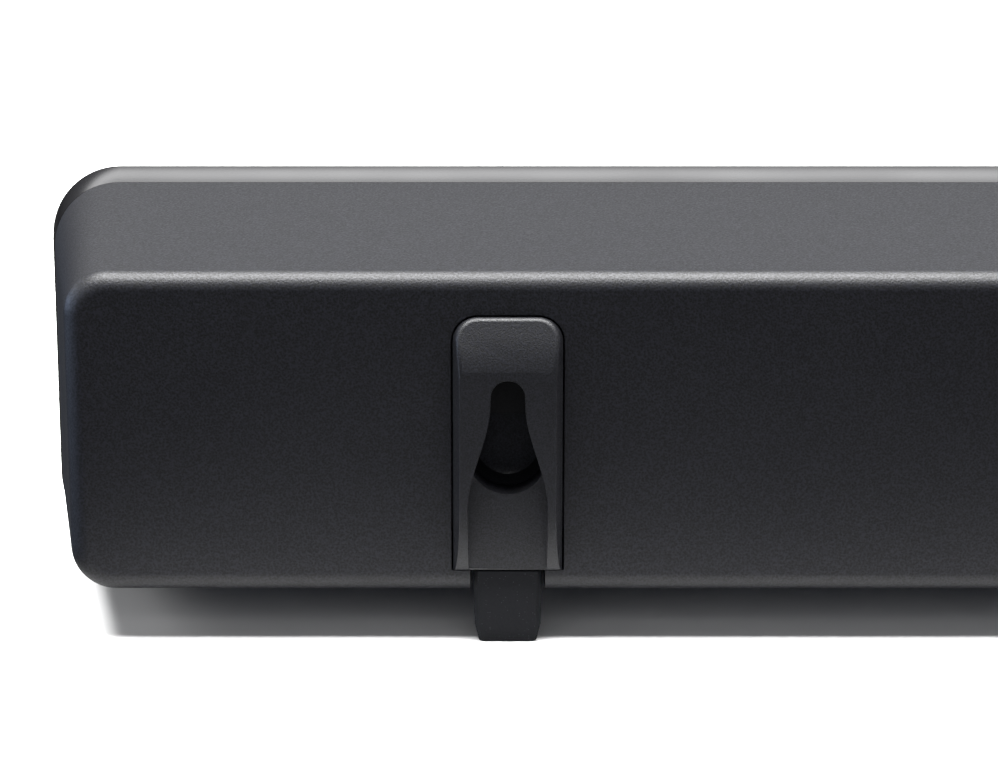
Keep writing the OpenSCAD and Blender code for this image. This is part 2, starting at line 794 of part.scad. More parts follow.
module button_board_screws() {
    color("silver") for (sx = [-1, 1]) on_top(sx * button_post_x, button_s)
        translate([0, 0, -board_depth - 1.2]) difference() {
            union() {
                translate([0, 0, -1.3]) cylinder(r = 1.9, h = 1.3, $fn = round_fn);
                cylinder(r = 0.8, h = 4.4, $fn = round_fn);
            }
            translate([0, 0, -1.4]) linear_extrude(0.8) {
                square([2.4, 0.6], center = true);
                square([0.6, 2.4], center = true);
            }
        }
}

module tact_switches() {
    color([0.15, 0.15, 0.15]) for (i = [0:button_count - 1]) on_top(button_x(i), button_s)
        difference() {
            translate([-2.6, -2.6, -board_depth]) cube([5.2, 5.2, board_depth - switch_top]);
            translate([0, 0, -board_depth + 0.15]) cylinder(r = stem_r + stem_gap, h = 3, $fn = round_fn);
        }
}

module button_cap(i) {
    color([0.16, 0.16, 0.17]) on_top(button_x(i), button_s) {
        translate([0, 0, -wall - cap_flange_gap]) linear_extrude(wall + cap_flange_gap + cap_proud)
            button_outline(i, 0);
        translate([0, 0, -wall - cap_flange_gap - cap_flange_t]) linear_extrude(cap_flange_t + eps)
            button_outline(i, 0.7);
        translate([0, 0, -stem_top]) cylinder(r = 1.5, h = stem_top - wall - 0.5, $fn = round_fn);
    }
}

module switch_stem(i) {
    color([0.85, 0.3, 0.1]) on_top(button_x(i), button_s)
        translate([0, 0, -stem_low]) cylinder(r = stem_r, h = stem_low - stem_top, $fn = round_fn);
}

module indicator_led() {
    color([0.9, 0.9, 0.8]) on_top(pipe_x, button_s)
        translate([-0.8, -0.5, -board_depth]) cube([1.6, 1, 0.7]);
}

module indicator_light_pipe() {
    color([0.9, 0.95, 1]) on_top(pipe_x, button_s) {
        translate([0, 0, -board_depth + 0.8]) cylinder(r = 1, h = board_depth - 0.8, $fn = round_fn);
        translate([0, 0, -wall - 0.8]) cylinder(r = 1.7, h = 0.75, $fn = round_fn);
    }
}

// ---------- front pads ----------

module front_pads() {
    gap = 0.02;
    color([0.08, 0.08, 0.08]) for (x = hanger_x) along_x(x, pad_w) polygon([
        [pad_s[0], 0], [pad_s[1], 0],
        [pad_s[1], bottom_z(pad_s[1]) - gap], [pad_s[0], bottom_z(pad_s[0]) - gap]
    ]);
}

rear_shell();
front_bezel();
front_trim();
diffuser();
diffuser_gasket();
reflector_tray();
led_plate(board_x[0]);  // led_board_left
led_plate(board_x[1]);  // led_board_right
warm_leds();
cool_leds();
thermal_pads();
heat_spreader();
spreader_screws();
led_board_screws();
housing_screws();
driver_board();
driver_chips();
driver_capacitors();
driver_inductors();
driver_connectors();
driver_screws();
led_leads();
button_ribbon();
usb_c_shell();
usb_c_tongue();
button_board();
button_board_screws();
tact_switches();
indicator_led();
indicator_light_pipe();
button_cap(0);  // power_button
button_cap(1);  // tone_button
button_cap(2);  // dim_down_button
button_cap(3);  // dim_up_button
switch_stem(0);  // power_switch_stem
switch_stem(1);  // tone_switch_stem
switch_stem(2);  // dim_down_switch_stem
switch_stem(3);  // dim_up_switch_stem
hanger(hanger_x[0]);  // hanger_left
hanger(hanger_x[1]);  // hanger_right
hanger_cup(hanger_x[0]);  // hanger_cup_left
hanger_cup(hanger_x[1]);  // hanger_cup_right
hanger_screws();
foot_leg(hanger_x[0]);  // foot_leg_left
foot_leg(hanger_x[1]);  // foot_leg_right
foot_boot(hanger_x[0]);  // foot_boot_left
foot_boot(hanger_x[1]);  // foot_boot_right
foot_pin(hanger_x[0]);  // foot_pin_left
foot_pin(hanger_x[1]);  // foot_pin_right
front_pads();
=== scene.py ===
"""Desk light bar: the visible pieces, their materials and the stage, built round the CAD frame."""
import json
from math import acos, cos, pi, radians, sin

import bmesh
import bpy
from bpy.props import FloatProperty, FloatVectorProperty, IntProperty, PointerProperty
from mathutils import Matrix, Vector


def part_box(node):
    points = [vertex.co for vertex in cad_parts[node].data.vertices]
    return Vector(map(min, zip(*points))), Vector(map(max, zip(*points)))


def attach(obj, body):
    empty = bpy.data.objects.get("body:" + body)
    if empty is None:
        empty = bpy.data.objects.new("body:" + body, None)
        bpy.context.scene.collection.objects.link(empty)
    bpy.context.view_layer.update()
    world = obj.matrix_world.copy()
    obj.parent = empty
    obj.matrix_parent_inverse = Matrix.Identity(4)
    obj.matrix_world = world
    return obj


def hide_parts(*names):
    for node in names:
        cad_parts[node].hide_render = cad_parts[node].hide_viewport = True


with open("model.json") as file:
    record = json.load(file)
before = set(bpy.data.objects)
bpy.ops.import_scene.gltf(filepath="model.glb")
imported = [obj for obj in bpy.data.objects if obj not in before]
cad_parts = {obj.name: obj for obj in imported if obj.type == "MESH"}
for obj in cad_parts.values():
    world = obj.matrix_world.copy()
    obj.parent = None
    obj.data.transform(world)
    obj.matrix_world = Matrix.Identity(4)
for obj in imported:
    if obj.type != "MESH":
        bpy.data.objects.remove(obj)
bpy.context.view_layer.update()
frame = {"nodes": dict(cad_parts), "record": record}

bl_info = {
    "name": "Desk Light Bar",
    "version": (1, 0, 0),
    "blender": (4, 5, 0),
    "location": "View3D > Sidebar > Light Bar",
    "description": "Models and finishes the visible pieces of a desk light bar on keyhole hangers and feet",
    "category": "Object",
}

MM = 0.001

# ---------------------------------------------------------------- places taken from the frame

SHELL_LOW, SHELL_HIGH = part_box("rear_shell")
REAR_Y = SHELL_HIGH.y
SEAM_S = REAR_Y - SHELL_LOW.y
BEZEL_END_S = REAR_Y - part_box("front_bezel")[0].y
FRONT_S = REAR_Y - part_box("front_trim")[0].y
SIDES = ("left", "right")
HANGER_X = {side: sum((p.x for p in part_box("hanger_" + side)), 0.0) / 2 for side in SIDES}
WALL_FACE_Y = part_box("hanger_left")[1].y
INLET_Z = sum((p.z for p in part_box("usb_c_shell")), 0.0) / 2
SEAM_GAP = 0.2 * MM
BUTTONS = ("power", "tone", "dim_down", "dim_up")


# ---------------------------------------------------------------- sizes and colours a user may change

class LightBarShape(bpy.types.PropertyGroup):
    """Shape of the housing, beyond what the frame says."""
    top_slope: FloatProperty(name="Top slope", description="Rise of the top face per metre forwards",
                             default=0.14, min=0.0, max=0.3)
    bottom_slope: FloatProperty(name="Bottom slope", description="Fall of the bottom face per metre forwards",
                                default=0.122, min=0.0, max=0.3)
    side_slope: FloatProperty(name="Side slope", description="Widening of each end per metre forwards",
                              default=0.188, min=0.0, max=0.3)
    rear_corner: FloatProperty(name="Rear corner", description="Corner radius of the rear outline",
                               default=6.5 * MM, unit="LENGTH", subtype="DISTANCE")
    front_corner: FloatProperty(name="Front corner", description="Corner radius of the front outline",
                                default=12 * MM, unit="LENGTH", subtype="DISTANCE")
    rear_fillet: FloatProperty(name="Rear fillet", description="Setback of the rounding round the rear face",
                               default=2.6 * MM, unit="LENGTH", subtype="DISTANCE")
    wall: FloatProperty(name="Wall", description="Wall thickness of the rear shell",
                        default=2.5 * MM, unit="LENGTH", subtype="DISTANCE")
    corner_steps: IntProperty(name="Corner steps", description="Strips across each rounded corner",
                              default=16, min=6, max=32)


class LightBarFinish(bpy.types.PropertyGroup):
    """Colours and grain of the finishes."""
    housing: FloatVectorProperty(name="Housing", description="Colour of the moulded housing",
                                 subtype="COLOR", size=3, default=(0.0046, 0.0048, 0.0064), min=0, max=1)
    bezel: FloatVectorProperty(name="Bezel", description="Colour of the polished bezel",
                               subtype="COLOR", size=3, default=(0.010, 0.010, 0.011), min=0, max=1)
    rubber: FloatVectorProperty(name="Rubber", description="Colour of the feet and pads",
                                subtype="COLOR", size=3, default=(0.0046, 0.0050, 0.0062), min=0, max=1)
    grain: FloatProperty(name="Grain", description="Size of the moulded grain",
                         default=0.33 * MM, unit="LENGTH", subtype="DISTANCE")
    grain_depth: FloatProperty(name="Grain depth", description="Depth of the moulded grain",
                               default=0.045 * MM, unit="LENGTH", subtype="DISTANCE")


class LightBarStage(bpy.types.PropertyGroup):
    """Camera and light."""
    lens: FloatProperty(name="Lens", description="Focal length of the camera", default=95.85, min=20, max=300)
    pitch: FloatProperty(name="Pitch", description="How far the camera looks down",
                         default=radians(12), unit="ROTATION", subtype="ANGLE")
    distance: FloatProperty(name="Distance", description="From the rear face to the camera, level",
                            default=391.6 * MM, unit="LENGTH", subtype="DISTANCE")
    height: FloatProperty(name="Height", description="Height of the camera above the floor",
                          default=124.9 * MM, unit="LENGTH", subtype="DISTANCE")
    board_from: FloatProperty(name="Dark floor", description="Where reflections of the floor have darkened",
                              default=60 * MM, unit="LENGTH", subtype="DISTANCE")
    aside: FloatProperty(name="Aside", description="How far past the right hanger the camera stands",
                         default=1.33 * MM, unit="LENGTH", subtype="DISTANCE")


def shape():
    return bpy.context.scene.light_bar_shape


def finish():
    return bpy.context.scene.light_bar_finish


# ---------------------------------------------------------------- the housing's taper
# s is the distance forwards from the flat rear face.

def top_z(s):
    return SHELL_HIGH.z - shape().top_slope * (SEAM_S - s)


def bottom_z(s):
    return SHELL_LOW.z + shape().bottom_slope * (SEAM_S - s)


def half_len(s):
    return SHELL_HIGH.x - shape().side_slope * (SEAM_S - s)


def corner_r(s):
    rear, front = shape().rear_corner, shape().front_corner
    return rear + (front - rear) * s / FRONT_S


# ---------------------------------------------------------------- modelling helpers

def clear_selection():
    if bpy.context.object and bpy.context.object.mode != "OBJECT":
        bpy.ops.object.mode_set(mode="OBJECT")
    bpy.ops.object.select_all(action="DESELECT")


def take(piece):
    """Leaves this piece alone selected, and active."""
    clear_selection()
    piece.select_set(True)
    bpy.context.view_layer.objects.active = piece
    return piece


def placed(name):
    """Names the piece just added and moves its place and size into its mesh."""
    piece = bpy.context.object
    piece.name = piece.data.name = name
    bpy.ops.object.transform_apply(location=True, rotation=True, scale=True)
    return piece


def block(name, low, high):
    clear_selection()
    low, high = Vector(low), Vector(high)
    bpy.ops.mesh.primitive_cube_add(size=1, location=(low + high) / 2)
    bpy.context.object.scale = high - low
    return placed(name)


def rod(name, start, end, radius, sides=40):
    """A round bar from one point to another."""
    clear_selection()
    start, end = Vector(start), Vector(end)
    bpy.ops.mesh.primitive_cylinder_add(vertices=sides, radius=radius, depth=(end - start).length,
                                        location=(start + end) / 2)
    bpy.context.object.rotation_euler = (end - start).to_track_quat("Z", "Y").to_euler()
    return placed(name)


def pick(piece, kind, test):
    """Selects, in edit mode, the VERT, EDGE or FACE items that the test accepts."""
    if bpy.context.object is not piece or piece.mode != "EDIT":
        take(piece)
        bpy.ops.object.mode_set(mode="EDIT")
    bpy.ops.mesh.select_mode(type=kind)
    bpy.ops.mesh.select_all(action="DESELECT")
    mesh = bmesh.from_edit_mesh(piece.data)
    items = {"VERT": mesh.verts, "EDGE": mesh.edges, "FACE": mesh.faces}[kind]
    found = [item for item in items if test(item)]
    for item in found:
        item.select_set(True)
    bmesh.update_edit_mesh(piece.data)
    if not found:
        raise RuntimeError(f"nothing on {piece.name} was picked")


def bevel_edges(piece, test, width, steps, **settings):
    """Bevels the edges that the test accepts, to a round section where there are several steps."""
    pick(piece, "EDGE", test)
    bpy.ops.mesh.bevel(offset=width, segments=steps, affect="EDGES", profile=0.5, **settings)
    bpy.ops.object.mode_set(mode="OBJECT")
    return piece


def add_ring(piece, place, normal):
    """Adds a ring of edges where a plane crosses the piece."""
    take(piece)
    bpy.ops.object.mode_set(mode="EDIT")
    bpy.ops.mesh.select_all(action="SELECT")
    bpy.ops.mesh.bisect(plane_co=place, plane_no=normal)
    bpy.ops.object.mode_set(mode="OBJECT")


def runs_along(edge, axis):
    way = (edge.verts[1].co - edge.verts[0].co).normalized()
    return abs(way[axis]) > 0.999


def both(edge, test):
    return test(edge.verts[0].co) and test(edge.verts[1].co)


def drawn(name, points, thickness):
    """A closed outline drawn point by point, then given a thickness."""
    clear_selection()
    points = [Vector(p) for p in points]
    bpy.ops.mesh.primitive_plane_add(size=MM, location=points[0])
    piece = placed(name)
    bpy.ops.object.mode_set(mode="EDIT")
    bpy.ops.mesh.select_mode(type="VERT")
    bpy.ops.mesh.select_all(action="SELECT")
    bpy.ops.mesh.merge(type="CENTER")
    for here, there in zip(points, points[1:] + points[:1]):
        bpy.ops.mesh.extrude_vertices_move(TRANSFORM_OT_translate={"value": there - here})
    bpy.ops.mesh.select_all(action="SELECT")
    bpy.ops.mesh.remove_doubles(threshold=1e-6)
    bpy.ops.mesh.select_all(action="SELECT")
    bpy.ops.mesh.edge_face_add()
    bpy.ops.mesh.extrude_region_move(TRANSFORM_OT_translate={"value": Vector(thickness)})
    bpy.ops.mesh.select_all(action="SELECT")
    bpy.ops.mesh.normals_make_consistent(inside=False)
    bpy.ops.object.mode_set(mode="OBJECT")
    return piece


def joined(pieces):
    clear_selection()
    for piece in pieces:
        piece.select_set(True)
    bpy.context.view_layer.objects.active = pieces[0]
    if len(pieces) > 1:
        bpy.ops.object.join()
    return pieces[0]


def modify(piece, kind, **settings):
    """Adds a modifier, sets it and applies it."""
    take(piece)
    bpy.ops.object.modifier_add(type=kind)
    modifier = piece.modifiers[-1]
    for key, value in settings.items():
        setattr(modifier, key, value)
    bpy.ops.object.modifier_apply(modifier=modifier.name)
    return piece


def combine(piece, tools, operation="DIFFERENCE"):
    """Cuts the tools from the piece, or adds them to it, and puts them away."""
    tool = joined(tools)
    modify(piece, "BOOLEAN", operation=operation, object=tool, solver="EXACT")
    bpy.data.objects.remove(tool)
    return piece


def round_edges(piece, width, steps, angle=35):
    return modify(piece, "BEVEL", width=width, segments=steps, limit_method="ANGLE",
                  angle_limit=radians(angle), miter_outer="MITER_ARC", harden_normals=False)


def smooth(piece, angle=35):
    """Smooth shading in which the large flat faces stay flat."""
    take(piece)
    bpy.ops.object.mode_set(mode="EDIT")
    bpy.ops.mesh.select_all(action="SELECT")
    bpy.ops.mesh.remove_doubles(threshold=2e-7)
    bpy.ops.object.mode_set(mode="OBJECT")
    bpy.ops.object.shade_smooth_by_angle(angle=radians(angle))
    return modify(piece, "WEIGHTED_NORMAL", keep_sharp=True, weight=60)


def settle(piece, name, body, slot, *nodes):
    """Gives a finished piece its name, material and body, and hides the CAD nodes that it stands for."""
    clear_selection()
    piece.name = piece.data.name = name
    piece.data.materials.clear()
    piece.data.materials.append(finish_for(slot))
    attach(piece, body)
    if nodes:
        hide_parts(*nodes)
    return piece


def at(x, s, z):
    """A point given by its distance forwards from the rear face."""
    return Vector((x, REAR_Y - s, z))


def tapered(name, s_rear, s_front, inset=0.0):
    """A rounded block that follows the housing's taper between two distances from the rear face."""
    piece = block(name, at(-half_len(s_rear) + inset, s_front, bottom_z(s_rear) + inset),
                  at(half_len(s_rear) - inset, s_rear, top_z(s_rear) - inset))
    rear_r = corner_r(s_rear) - inset
    front_r = corner_r(s_front) - inset
    bevel_edges(piece, lambda e: runs_along(e, 1), rear_r, shape().corner_steps)
    middle = (top_z(s_rear) + bottom_z(s_rear)) / 2
    front_y = REAR_Y - s_front

    def corner_centre(s, radius, x_way, z_way):
        z = top_z(s) - inset - radius if z_way > 0 else bottom_z(s) + inset + radius
        return Vector((x_way * (half_len(s) - inset - radius), front_y, z))

    for x_way in (-1, 1):
        for z_way in (-1, 1):
            centre = corner_centre(s_rear, rear_r, x_way, z_way)
            goal = corner_centre(s_front, front_r, x_way, z_way)
            pick(piece, "VERT", lambda v: abs(v.co.y - front_y) < 1e-6 and v.co.x * x_way > 0
                 and (v.co.z - middle) * z_way > 0)
            grow = front_r / rear_r
            bpy.ops.transform.resize(value=(grow, 1, grow), center_override=centre)
            bpy.ops.transform.translate(value=goal - centre)
    bpy.ops.object.mode_set(mode="OBJECT")
    return piece


CROWN = 0.14 * MM


def crown(piece, s_rear, s_front, steps):
    """Swells the outer face between the seam and the front edge very slightly outwards."""
    first, last = SEAM_S + SEAM_GAP, FRONT_S
    stops = [s_rear + (s_front - s_rear) * i / steps for i in range(steps + 1)]
    for s in stops[1:-1]:
        add_ring(piece, at(0, s, 0), (0, 1, 0))
    for s in stops:
        swell = CROWN * (1 - ((2 * s - first - last) / (last - first)) ** 2)
        pick(piece, "VERT", lambda v: abs(v.co.y - REAR_Y + s) < 1e-6)
        bpy.ops.transform.resize(value=(1 + swell / half_len(s), 1, 1 + 2 * swell / (top_z(s) - bottom_z(s))),
                                 center_override=at(0, s, (top_z(s) + bottom_z(s)) / 2))
    bpy.ops.object.mode_set(mode="OBJECT")
    return piece


def round_rim(piece, y, setback, steps):
    """Rounds the edge all round the end face that lies at this y."""
    return bevel_edges(piece, lambda e: both(e, lambda co: abs(co.y - y) < 1e-6), setback, steps)


def rounded_plate(name, centre, width, height, radius, s_rear, s_front, steps):
    """An upright plate with round corners between two distances from the rear face."""
    piece = block(name, at(centre[0] - width / 2, s_front, centre[1] - height / 2),
                  at(centre[0] + width / 2, s_rear, centre[1] + height / 2))
    return bevel_edges(piece, lambda e: runs_along(e, 1), radius, steps)


# ---------------------------------------------------------------- shader groups

def new_group(name, inputs, outputs):
    group = bpy.data.node_groups.new(name, "ShaderNodeTree")
    for label, kind, default in inputs:
        socket = group.interface.new_socket(name=label, in_out="INPUT", socket_type=kind)
        if default is not None:
            socket.default_value = default
    for label, kind in outputs:
        group.interface.new_socket(name=label, in_out="OUTPUT", socket_type=kind)
    return group, group.nodes.new("NodeGroupInput"), group.nodes.new("NodeGroupOutput")


def node(tree, kind, links=(), **settings):
    """Adds a node. A link pairs one of its sockets with another node's output, or with a plain value."""
    made = tree.nodes.new(kind)
    for key, value in settings.items():
        setattr(made, key, value)
    for socket, source in links:
        if isinstance(source, bpy.types.NodeSocket):
            tree.links.new(source, made.inputs[socket])
        else:
            made.inputs[socket].default_value = source
    return made


def math(tree, operation, a, b=None, c=None):
    links = [(i, value) for i, value in enumerate((a, b, c)) if value is not None]
    return node(tree, "ShaderNodeMath", links, operation=operation).outputs[0]


def moulded_grain():
    """Spark-eroded grain: fine rounded pits that run together, with a slow drift in depth."""
    group = bpy.data.node_groups.get("moulded_grain")
    if group:
        return group
    group, given, out = new_group(
        "moulded_grain",
        [("Position", "NodeSocketVector", None), ("Grain Size", "NodeSocketFloat", 0.0004),
         ("Depth", "NodeSocketFloat", 0.00003)],
        [("Normal", "NodeSocketVector"), ("Pits", "NodeSocketFloat"), ("Drift", "NodeSocketFloat")])
    rate = math(group, "DIVIDE", 1.0, given.outputs["Grain Size"])
    fine = node(group, "ShaderNodeTexNoise", [("Vector", given.outputs["Position"]), ("Scale", rate),
                                              ("Detail", 2.0), ("Roughness", 0.55), ("Distortion", 0.35)])
    cells = node(group, "ShaderNodeTexVoronoi", [("Vector", given.outputs["Position"]), ("Scale", rate)],
                 feature="SMOOTH_F1")
    cells.inputs["Smoothness"].default_value = 0.6
    drift = node(group, "ShaderNodeTexNoise", [("Vector", given.outputs["Position"]), ("Scale", 42.0),
                                               ("Detail", 3.0), ("Roughness", 0.5)])
    pits = math(group, "MULTIPLY_ADD", fine.outputs["Fac"], 0.7,
                math(group, "MULTIPLY", cells.outputs["Distance"], 0.45))
    bump = node(group, "ShaderNodeBump", [("Strength", 1.0), ("Distance", given.outputs["Depth"]),
                                          ("Height", pits)])
    group.links.new(bump.outputs["Normal"], out.inputs["Normal"])
    group.links.new(pits, out.inputs["Pits"])
    group.links.new(drift.outputs["Fac"], out.inputs["Drift"])
    return group


def dust_specks():
    """Small scattered pale specks, as on moulded rubber."""
    group = bpy.data.node_groups.get("dust_specks")
    if group:
        return group
    group, given, out = new_group(
        "dust_specks",
        [("Position", "NodeSocketVector", None), ("Spacing", "NodeSocketFloat", 0.0004),
         ("Size", "NodeSocketFloat", 0.2), ("Share", "NodeSocketFloat", 0.2)],
        [("Specks", "NodeSocketFloat")])
    rate = math(group, "DIVIDE", 1.0, given.outputs["Spacing"])
    cells = node(group, "ShaderNodeTexVoronoi", [("Vector", given.outputs["Position"]), ("Scale", rate)])
    near = math(group, "LESS_THAN", cells.outputs["Distance"], given.outputs["Size"])
    chosen = math(group, "LESS_THAN",
                  node(group, "ShaderNodeSeparateColor", [(0, cells.outputs["Color"])]).outputs[0],
                  given.outputs["Share"])
    group.links.new(math(group, "MULTIPLY", near, chosen), out.inputs["Specks"])
    return group


def brushed_lines():
    """Fine drawn lines along X, for sheet and turned metal."""
    group = bpy.data.node_groups.get("brushed_lines")
    if group:
        return group
    group, given, out = new_group(
        "brushed_lines", [("Position", "NodeSocketVector", None), ("Depth", "NodeSocketFloat", 0.000004)],
        [("Normal", "NodeSocketVector"), ("Lines", "NodeSocketFloat")])
    stretch = node(group, "ShaderNodeMapping", [("Vector", given.outputs["Position"]),
                                                ("Scale", (60.0, 4000.0, 4000.0))])
    lines = node(group, "ShaderNodeTexNoise", [("Vector", stretch.outputs[0]), ("Scale", 1.0),
                                               ("Detail", 2.0)])
    bump = node(group, "ShaderNodeBump", [("Strength", 0.6), ("Distance", given.outputs["Depth"]),
                                          ("Height", lines.outputs["Fac"])])
    group.links.new(bump.outputs["Normal"], out.inputs["Normal"])
    group.links.new(lines.outputs["Fac"], out.inputs["Lines"])
    return group


# ---------------------------------------------------------------- materials

def new_material(name):
    material = bpy.data.materials.new(name)
    material.use_nodes = True
    tree = material.node_tree
    shader = tree.nodes["Principled BSDF"]
    place = tree.nodes.new("ShaderNodeTexCoord").outputs["Object"]
    return material, tree, shader, place


def placed_group(tree, group, **values):
    made = tree.nodes.new("ShaderNodeGroup")
    made.node_tree = group
    for key, value in values.items():
        socket = made.inputs[key.replace("_", " ").title()]
        if isinstance(value, bpy.types.NodeSocket):
            tree.links.new(value, socket)
        else:
            socket.default_value = value
    return made


def blend_colours(tree, amount, first, second):
    mix = tree.nodes.new("ShaderNodeMix")
    mix.data_type = "RGBA"
    tree.links.new(amount, mix.inputs["Factor"])
    mix.inputs["A"].default_value = (*first, 1)
    mix.inputs["B"].default_value = (*second, 1)
    return mix.outputs["Result"]


def remapped(tree, value, source, target=(0.0, 1.0), **settings):
    """Maps one range of a value onto another, and holds it at the range's ends."""
    links = [("Value", value), ("From Min", source[0]), ("From Max", source[1]),
             ("To Min", target[0]), ("To Max", target[1])]
    return node(tree, "ShaderNodeMapRange", links, **settings).outputs[0]


def scaled(colour, amount):
    return [part * amount for part in colour]


def spread(tree, value, low, high):
    """Maps 0..1 onto low..high."""
    return remapped(tree, value, (0.0, 1.0), (low, high))


PIT_RANGE = (0.42, 0.72)


def moulded_plastic(name, colour, roughness, grain, depth, gleam=0.5, painted_grain_shading=1.35):
    """Grained moulded plastic, its colour paler on the peaks of its grain and darker in its pits: painted
    light and shade on the grain.
    """
    material, tree, shader, place = new_material(name)
    relief = placed_group(tree, moulded_grain(), position=place, grain_size=grain, depth=depth)
    peaks = remapped(tree, relief.outputs["Pits"], PIT_RANGE)
    # the colour follows the grain's height: painted light on its peaks, painted shade in its pits
    tone = blend_colours(tree, peaks, scaled(colour, 2 - painted_grain_shading), scaled(colour, painted_grain_shading))
    tree.links.new(tone, shader.inputs["Base Color"])
    matt = spread(tree, relief.outputs["Drift"], roughness + 0.02, roughness + 0.10)
    worn = math(tree, "MULTIPLY_ADD", peaks, -0.10, matt)
    tree.links.new(worn, shader.inputs["Roughness"])
    tree.links.new(relief.outputs["Normal"], shader.inputs["Normal"])
    shader.inputs["IOR"].default_value = 1.53
    shader.inputs["Specular IOR Level"].default_value = gleam
    return material


def rubber(name, colour, roughness=0.62):
    """Matt moulded rubber with a fine grain and pale dust in it."""
    material, tree, shader, place = new_material(name)
    relief = placed_group(tree, moulded_grain(), position=place, grain_size=0.3 * MM, depth=0.03 * MM)
    dust = placed_group(tree, dust_specks(), position=place, spacing=0.3 * MM, size=0.22, share=0.16)
    tone = blend_colours(tree, dust.outputs["Specks"], colour, (0.03, 0.032, 0.036))
    tree.links.new(tone, shader.inputs["Base Color"])
    tree.links.new(spread(tree, relief.outputs["Pits"], roughness, roughness + 0.2),
                   shader.inputs["Roughness"])
    tree.links.new(relief.outputs["Normal"], shader.inputs["Normal"])
    shader.inputs["IOR"].default_value = 1.5
    shader.inputs["Specular IOR Level"].default_value = 0.14
    return material


def polished_plastic(name, colour, roughness=0.08, gleam=0.5):
    """Polished plastic with the faint waviness of a moulded surface."""
    material, tree, shader, place = new_material(name)
    wave = node(tree, "ShaderNodeTexNoise", [("Vector", place), ("Scale", 55.0), ("Detail", 1.0)])
    bump = node(tree, "ShaderNodeBump", [("Strength", 0.5), ("Distance", 0.00003),
                                         ("Height", wave.outputs["Fac"])])
    tree.links.new(bump.outputs["Normal"], shader.inputs["Normal"])
    tree.links.new(spread(tree, wave.outputs["Fac"], roughness * 0.7, roughness * 1.4),
                   shader.inputs["Roughness"])
    tree.links.new(blend_colours(tree, wave.outputs["Fac"], scaled(colour, 0.9), scaled(colour, 1.1)),
                   shader.inputs["Base Color"])
    shader.inputs["Specular IOR Level"].default_value = gleam
    return material


def metal(name, colour, roughness):
    material, tree, shader, place = new_material(name)
    lines = placed_group(tree, brushed_lines(), position=place)
    tree.links.new(blend_colours(tree, lines.outputs["Lines"], scaled(colour, 0.88), colour),
                   shader.inputs["Base Color"])
    tree.links.new(spread(tree, lines.outputs["Lines"], roughness * 0.8, roughness * 1.25),
                   shader.inputs["Roughness"])
    tree.links.new(lines.outputs["Normal"], shader.inputs["Normal"])
    shader.inputs["Metallic"].default_value = 1.0
    return material


def opal(name, colour):
    """Opal acrylic: a white body that light spreads in, under a satin skin."""
    material, tree, shader, place = new_material(name)
    cloud = node(tree, "ShaderNodeTexNoise", [("Vector", place), ("Scale", 30.0), ("Detail", 2.0)])
    tree.links.new(blend_colours(tree, cloud.outputs["Fac"], scaled(colour, 0.97), colour),
                   shader.inputs["Base Color"])
    tree.links.new(spread(tree, cloud.outputs["Fac"], 0.32, 0.4), shader.inputs["Roughness"])
    shader.inputs["Subsurface Weight"].default_value = 0.6
    shader.inputs["Subsurface Radius"].default_value = (0.004, 0.004, 0.0038)
    shader.inputs["Subsurface Scale"].default_value = 1.0
    return material


def glassy(name, colour):
    material, tree, shader, place = new_material(name)
    cloud = node(tree, "ShaderNodeTexNoise", [("Vector", place), ("Scale", 400.0)])
    tree.links.new(spread(tree, cloud.outputs["Fac"], 0.05, 0.12), shader.inputs["Roughness"])
    shader.inputs["Base Color"].default_value = (*colour, 1)
    shader.inputs["Transmission Weight"].default_value = 1.0
    return material


def circuit_board(name, mask, trace):
    """Solder mask with a little colour change over the traces below it."""
    material, tree, shader, place = new_material(name)
    cells = node(tree, "ShaderNodeTexVoronoi", [("Vector", place), ("Scale", 450.0)], distance="CHEBYCHEV")
    lines = math(tree, "GREATER_THAN", cells.outputs["Distance"], 0.42)
    tree.links.new(blend_colours(tree, lines, mask, trace), shader.inputs["Base Color"])
    tree.links.new(spread(tree, cells.outputs["Distance"], 0.28, 0.4), shader.inputs["Roughness"])
    return material


_made = {}


